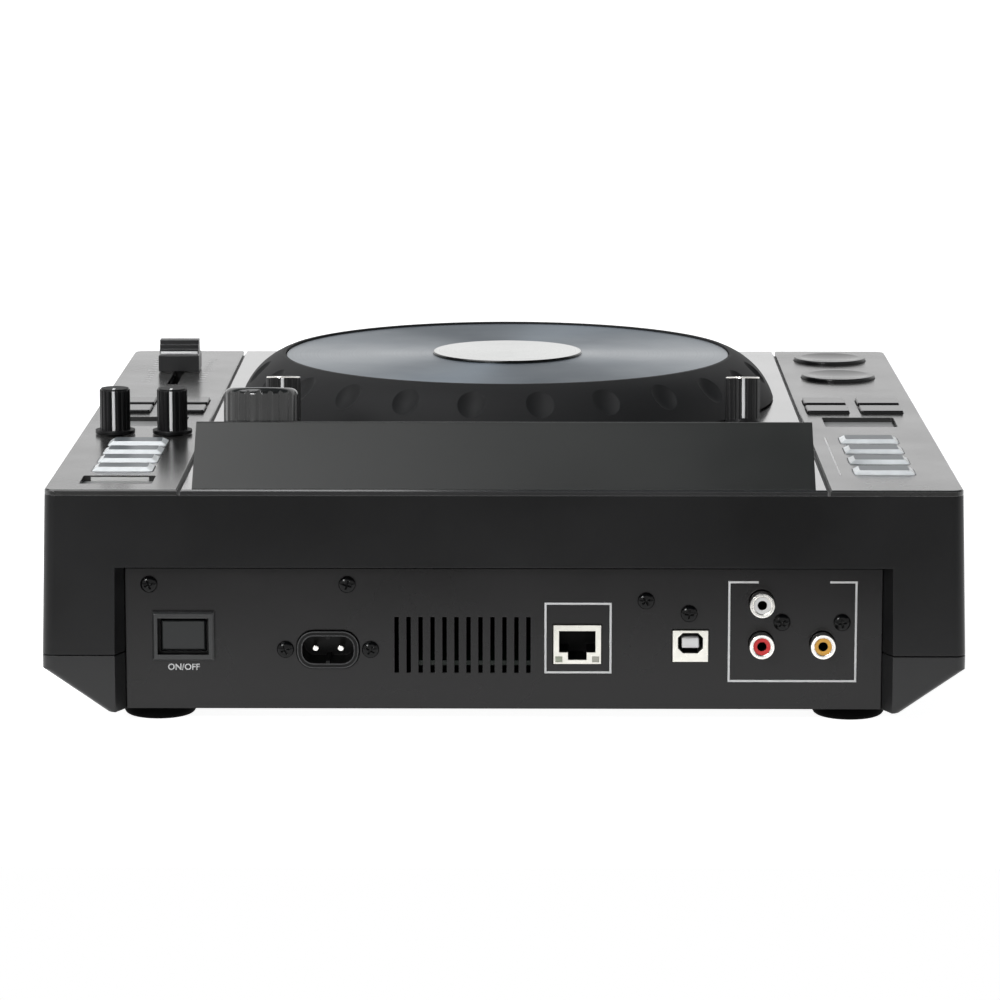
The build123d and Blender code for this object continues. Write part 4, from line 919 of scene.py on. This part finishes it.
network_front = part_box("ethernet_jack")[1].y
lining(
    "network_lining", NETWORK_PORT, network_front - NETWORK_INSET, NETWORK_DEPTH, liner_black
)
work = bmesh.new()
for i in range(CONTACTS):
    x = NETWORK_X + CONTACT_PITCH * (i - (CONTACTS - 1) / 2)
    root = Matrix.Translation(rear_point(x, CONTACT_Z, network_front - CONTACT_INSET))
    add_box(
        work,
        (-CONTACT_HALF, -CONTACT_LENGTH, -CONTACT_HALF_THICK),
        (CONTACT_HALF, 0.0, CONTACT_HALF_THICK),
        root @ Matrix.Rotation(CONTACT_TILT, 4, "X"),
    )
add_piece("network_contacts", work, gold, "base")
for name, x, material in LAMPS:
    work = bmesh.new()
    add_box(
        work,
        rear_point(x - LAMP_HALF, LAMP_LOW, network_front),
        rear_point(x + LAMP_HALF, LAMP_HIGH, network_front + LAMP_PROUD),
    )
    bevel_edges(work, LAMP_BEVEL, segments=1)
    add_piece(name, work, material, "base")


# Device USB jack: black lining and pale tongue

USB_X, USB_Z = -63.4, 28.1
USB_PORT = [(-4.25, -3.5), (4.25, -3.5), (4.25, 1.8), (2.55, 3.5), (-2.55, 3.5), (-4.25, 1.8)]
USB_INSET, USB_DEPTH = 0.25 * MM, 8.6
TONGUE_HALF_X, TONGUE_HALF_Z = 2.9, 1.7
TONGUE_INSET, TONGUE_LENGTH, TONGUE_BEVEL = 0.05 * MM, 8.0 * MM, 0.2 * MM

usb_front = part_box("usb_b_jack")[1].y
port = [(USB_X + x, USB_Z + z) for x, z in USB_PORT]
lining("usb_b_lining", port, usb_front - USB_INSET, USB_DEPTH, liner_black)
tongue_front = usb_front - TONGUE_INSET
work = bmesh.new()
add_box(
    work,
    rear_point(USB_X - TONGUE_HALF_X, USB_Z - TONGUE_HALF_Z, tongue_front - TONGUE_LENGTH),
    rear_point(USB_X + TONGUE_HALF_X, USB_Z + TONGUE_HALF_Z, tongue_front),
)
bevel_edges(work, TONGUE_BEVEL, segments=2)
add_piece("usb_b_tongue", work, tongue_cream, "base")


# Phono jacks: black sleeves and bright lips

SLEEVE_RADIUS = 1.57
SLEEVE_STEPS = 24
SLEEVE_INSET, SLEEVE_DEPTH = 0.2 * MM, 10.0
PHONO_LIP = [(3.39, -0.6), (3.39, -0.02), (3.2, -0.02), (2.9, -0.3), (2.9, -0.6)]

shell_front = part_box("rca_shells")[1].y / MM
lip_profile = [(radius, shell_front + height) for radius, height in PHONO_LIP]
angles = [2 * math.pi * i / SLEEVE_STEPS for i in range(SLEEVE_STEPS)]
for colour in ("white", "red", "orange"):
    low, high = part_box(f"rca_insulator_{colour}")
    mid = (low + high) / 2
    hole = [
        (mid.x / MM + SLEEVE_RADIUS * math.cos(a), mid.z / MM + SLEEVE_RADIUS * math.sin(a))
        for a in angles
    ]
    lining(
        f"phono_sleeve_{colour}", hole, high.y - SLEEVE_INSET, SLEEVE_DEPTH, liner_black, gap=0.0
    )
    turned_in = Matrix.Translation((mid.x, 0.0, mid.z)) @ Matrix.Rotation(-math.pi / 2, 4, "X")
    work = bmesh.new()
    tube(work, lip_profile, turned_in @ TO_METRES)
    add_piece(f"phono_lip_{colour}", work, plated, "base")


# Painted light: a light strip on the front wall of the stick's well, with its corners and top edge
# left dark as painted shade

WELL_FLANGE = 1.0 * MM
WELL_CORNER = 2.4 * MM
STRIP_THICK = 0.06 * MM
STRIP_DROP = 0.5 * MM

plate_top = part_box("right_control_plate")[1].z
well_low, well_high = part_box("usb_a_well")
wall_y = well_low.y + WELL_FLANGE
work = bmesh.new()
add_box(
    work,
    (well_low.x + WELL_FLANGE + WELL_CORNER, wall_y, well_high.z),
    (well_high.x - WELL_FLANGE - WELL_CORNER, wall_y + STRIP_THICK, plate_top - STRIP_DROP),
)
add_piece("stick_well_painted_light", work, painted_light_grey, "base")


# Print on the control plates: a scale beside the slider and a line beside the hot cue keys

TICKS_EACH_WAY = 5
TICK_PITCH = 6.0
TICK_GAP = 9.6
LONG_TICK, SHORT_TICK = 3.4, 2.2
TICK_HALF = 0.2
CUE_LINE_GAP = 4.0 * MM
CUE_LINE_HALF = 0.25 * MM
CUE_LINE_END = 1.0 * MM

work = bmesh.new()
for step in range(-TICKS_EACH_WAY, TICKS_EACH_WAY + 1):
    reach = LONG_TICK if step % TICKS_EACH_WAY == 0 else SHORT_TICK
    for side in (-1, 1):
        ends = sorted((side * TICK_GAP, side * (TICK_GAP + reach)))
        tick_low, tick_high = step * TICK_PITCH - TICK_HALF, step * TICK_PITCH + TICK_HALF
        add_box(
            work,
            (cap_mid.x + ends[0] * MM, cap_mid.y + tick_low * MM, plate_top),
            (cap_mid.x + ends[1] * MM, cap_mid.y + tick_high * MM, plate_top + PRINT_THICK),
        )
add_piece("slider_scale", work, plate_paint, "base")

first_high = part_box("hot_cue_button_1")[1]
last_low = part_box("hot_cue_button_4")[0]
line_x = first_high.x + CUE_LINE_GAP
work = bmesh.new()
add_box(
    work,
    (line_x - CUE_LINE_HALF, last_low.y + CUE_LINE_END, plate_top),
    (line_x + CUE_LINE_HALF, first_high.y - CUE_LINE_END, plate_top + PRINT_THICK),
)
add_piece("hot_cue_line", work, plate_paint, "base")


# Stage: white surroundings, pale floor, cards and soft lamps, in metres

WHITE = (1.0, 1.0, 1.0)
AMBIENT_LEVEL = 0.45
BACKDROP_LEVEL = 1.0
FLOOR_SIZE = 9.0
FLOOR_GREY = 0.7
FLOOR_GLOW = 0.93
CARD_HALF = 3.0
CARD_REAR = 3.0


def stage_tree(owner, output):
    """The emptied node tree of a world or material, and the surface input of its new output."""
    owner.use_nodes = True
    tree = owner.node_tree
    tree.nodes.clear()
    return tree, tree.nodes.new("ShaderNodeOutput" + output).inputs["Surface"]


def light_shader(tree, kind, strength, colour=WHITE):
    """A background or emission of one strength and colour."""
    node = tree.nodes.new("ShaderNode" + kind)
    node.inputs["Color"].default_value = (*colour, 1.0)
    node.inputs["Strength"].default_value = strength
    return node.outputs[0]


def choice(tree, factor, first, second):
    """The first shader where the factor is 0, and the second where it is 1."""
    node = tree.nodes.new("ShaderNodeMixShader")
    for socket, source in zip(node.inputs, (factor, first, second)):
        tree.links.new(source, socket)
    return node.outputs[0]


def seen_rays(tree):
    """1 for what the camera, a glossy surface or glass sees, and 0 for scattered light."""
    path = tree.nodes.new("ShaderNodeLightPath")
    seen = path.outputs["Is Camera Ray"]
    for kind in ("Is Glossy Ray", "Is Transmission Ray"):
        node = tree.nodes.new("ShaderNodeMath")
        node.operation = "MAXIMUM"
        tree.links.new(seen, node.inputs[0])
        tree.links.new(path.outputs[kind], node.inputs[1])
        seen = node.outputs[0]
    return seen


def soft_lamp(name, place, target, width, height, power):
    """A rectangular lamp that faces a target."""
    lamp = bpy.data.lights.new(name, "AREA")
    lamp.shape = "RECTANGLE"
    lamp.size = width
    lamp.size_y = height
    lamp.energy = power
    lamp_object = bpy.data.objects.new(name, lamp)
    lamp_object.location = place
    ray = Vector(target) - Vector(place)
    lamp_object.rotation_euler = ray.to_track_quat("-Z", "Y").to_euler()
    scene.collection.objects.link(lamp_object)


def card(name, front, height, material):
    """A level card of the stage, from its front edge to the rear."""
    mesh = bpy.data.meshes.new(name)
    corners = [
        (-CARD_HALF, front, height), (CARD_HALF, front, height),
        (CARD_HALF, CARD_REAR, height), (-CARD_HALF, CARD_REAR, height),
    ]
    mesh.from_pydata(corners, [], [(0, 1, 2, 3)])
    mesh.materials.append(material)
    made = bpy.data.objects.new(name, mesh)
    scene.collection.objects.link(made)
    return made


def card_material(name, colour, strength):
    """Dull card that sends out a little light and looks white to the camera."""
    material = bpy.data.materials.new(name)
    tree, surface = stage_tree(material, "Material")
    to_camera = tree.nodes.new("ShaderNodeLightPath").outputs["Is Camera Ray"]
    dull = light_shader(tree, "Emission", strength, colour)
    white = light_shader(tree, "Emission", 1.0)
    tree.links.new(choice(tree, to_camera, dull, white), surface)
    return material


world = bpy.data.worlds.new("studio")
scene.world = world
tree, surface = stage_tree(world, "World")
ambient = light_shader(tree, "Background", AMBIENT_LEVEL)
backdrop = light_shader(tree, "Background", BACKDROP_LEVEL)
tree.links.new(choice(tree, seen_rays(tree), ambient, backdrop), surface)

floor_work = bmesh.new()
bmesh.ops.create_grid(floor_work, x_segments=1, y_segments=1, size=FLOOR_SIZE)
floor_mesh = bpy.data.meshes.new("floor")
floor_work.to_mesh(floor_mesh)
floor_work.free()
floor = bpy.data.objects.new("floor", floor_mesh)
scene.collection.objects.link(floor)
floor_material = bpy.data.materials.new("floor_white")
tree, surface = stage_tree(floor_material, "Material")
level = tree.nodes.new("ShaderNodeMath")
level.operation = "MULTIPLY"
level.inputs[1].default_value = FLOOR_GLOW
tree.links.new(seen_rays(tree), level.inputs[0])
paper = tree.nodes.new("ShaderNodeBsdfDiffuse")
paper.inputs["Color"].default_value = (FLOOR_GREY, FLOOR_GREY, FLOOR_GREY, 1.0)
glow = tree.nodes.new("ShaderNodeEmission")
tree.links.new(level.outputs[0], glow.inputs["Strength"])
both = tree.nodes.new("ShaderNodeAddShader")
tree.links.new(paper.outputs[0], both.inputs[0])
tree.links.new(glow.outputs[0], both.inputs[1])
tree.links.new(both.outputs[0], surface)
floor_mesh.materials.append(floor_material)

# The ceiling is seen in the hood and the wheel, and hidden from the camera, so top views are open
ceiling = card_material("ceiling_dull", colour=(0.75, 0.9, 1.0), strength=0.1)
ceiling_card = card("ceiling_card", front=-1.7, height=1.7, material=ceiling)
ceiling_card.visible_camera = False
near_floor = card_material("near_floor_dull", colour=WHITE, strength=0.2)
card("near_floor_card", front=0.36, height=0.002, material=near_floor)

soft_lamp(
    "lamp_top", place=(0.55, 0.15, 1.25), target=(0.1, 0.05, 0.08), width=0.9, height=0.9, power=9.0
)
soft_lamp(
    "lamp_rear", place=(0.9, 1.7, 0.9), target=(0.0, 0.1, 0.05), width=0.45, height=0.36, power=15.0
)


# Camera, as fitted to the case's edges in the photo, with angles in radians

PITCH = 0.174453
YAW = 0.00788

camera_data = bpy.data.cameras.new("camera")
camera_data.sensor_width = 36.0
camera_data.lens = 152.497
camera_data.clip_start = 0.05
camera_data.clip_end = 60.0
camera = bpy.data.objects.new("camera", camera_data)
camera.location = (-0.009857, 1.571358, 0.325449)
forward = Vector(
    (math.sin(YAW) * math.cos(PITCH), -math.cos(YAW) * math.cos(PITCH), -math.sin(PITCH))
)
camera.rotation_euler = forward.to_track_quat("-Z", "Y").to_euler()
scene.collection.objects.link(camera)
scene.camera = camera
scene.view_settings.view_transform = "Standard"
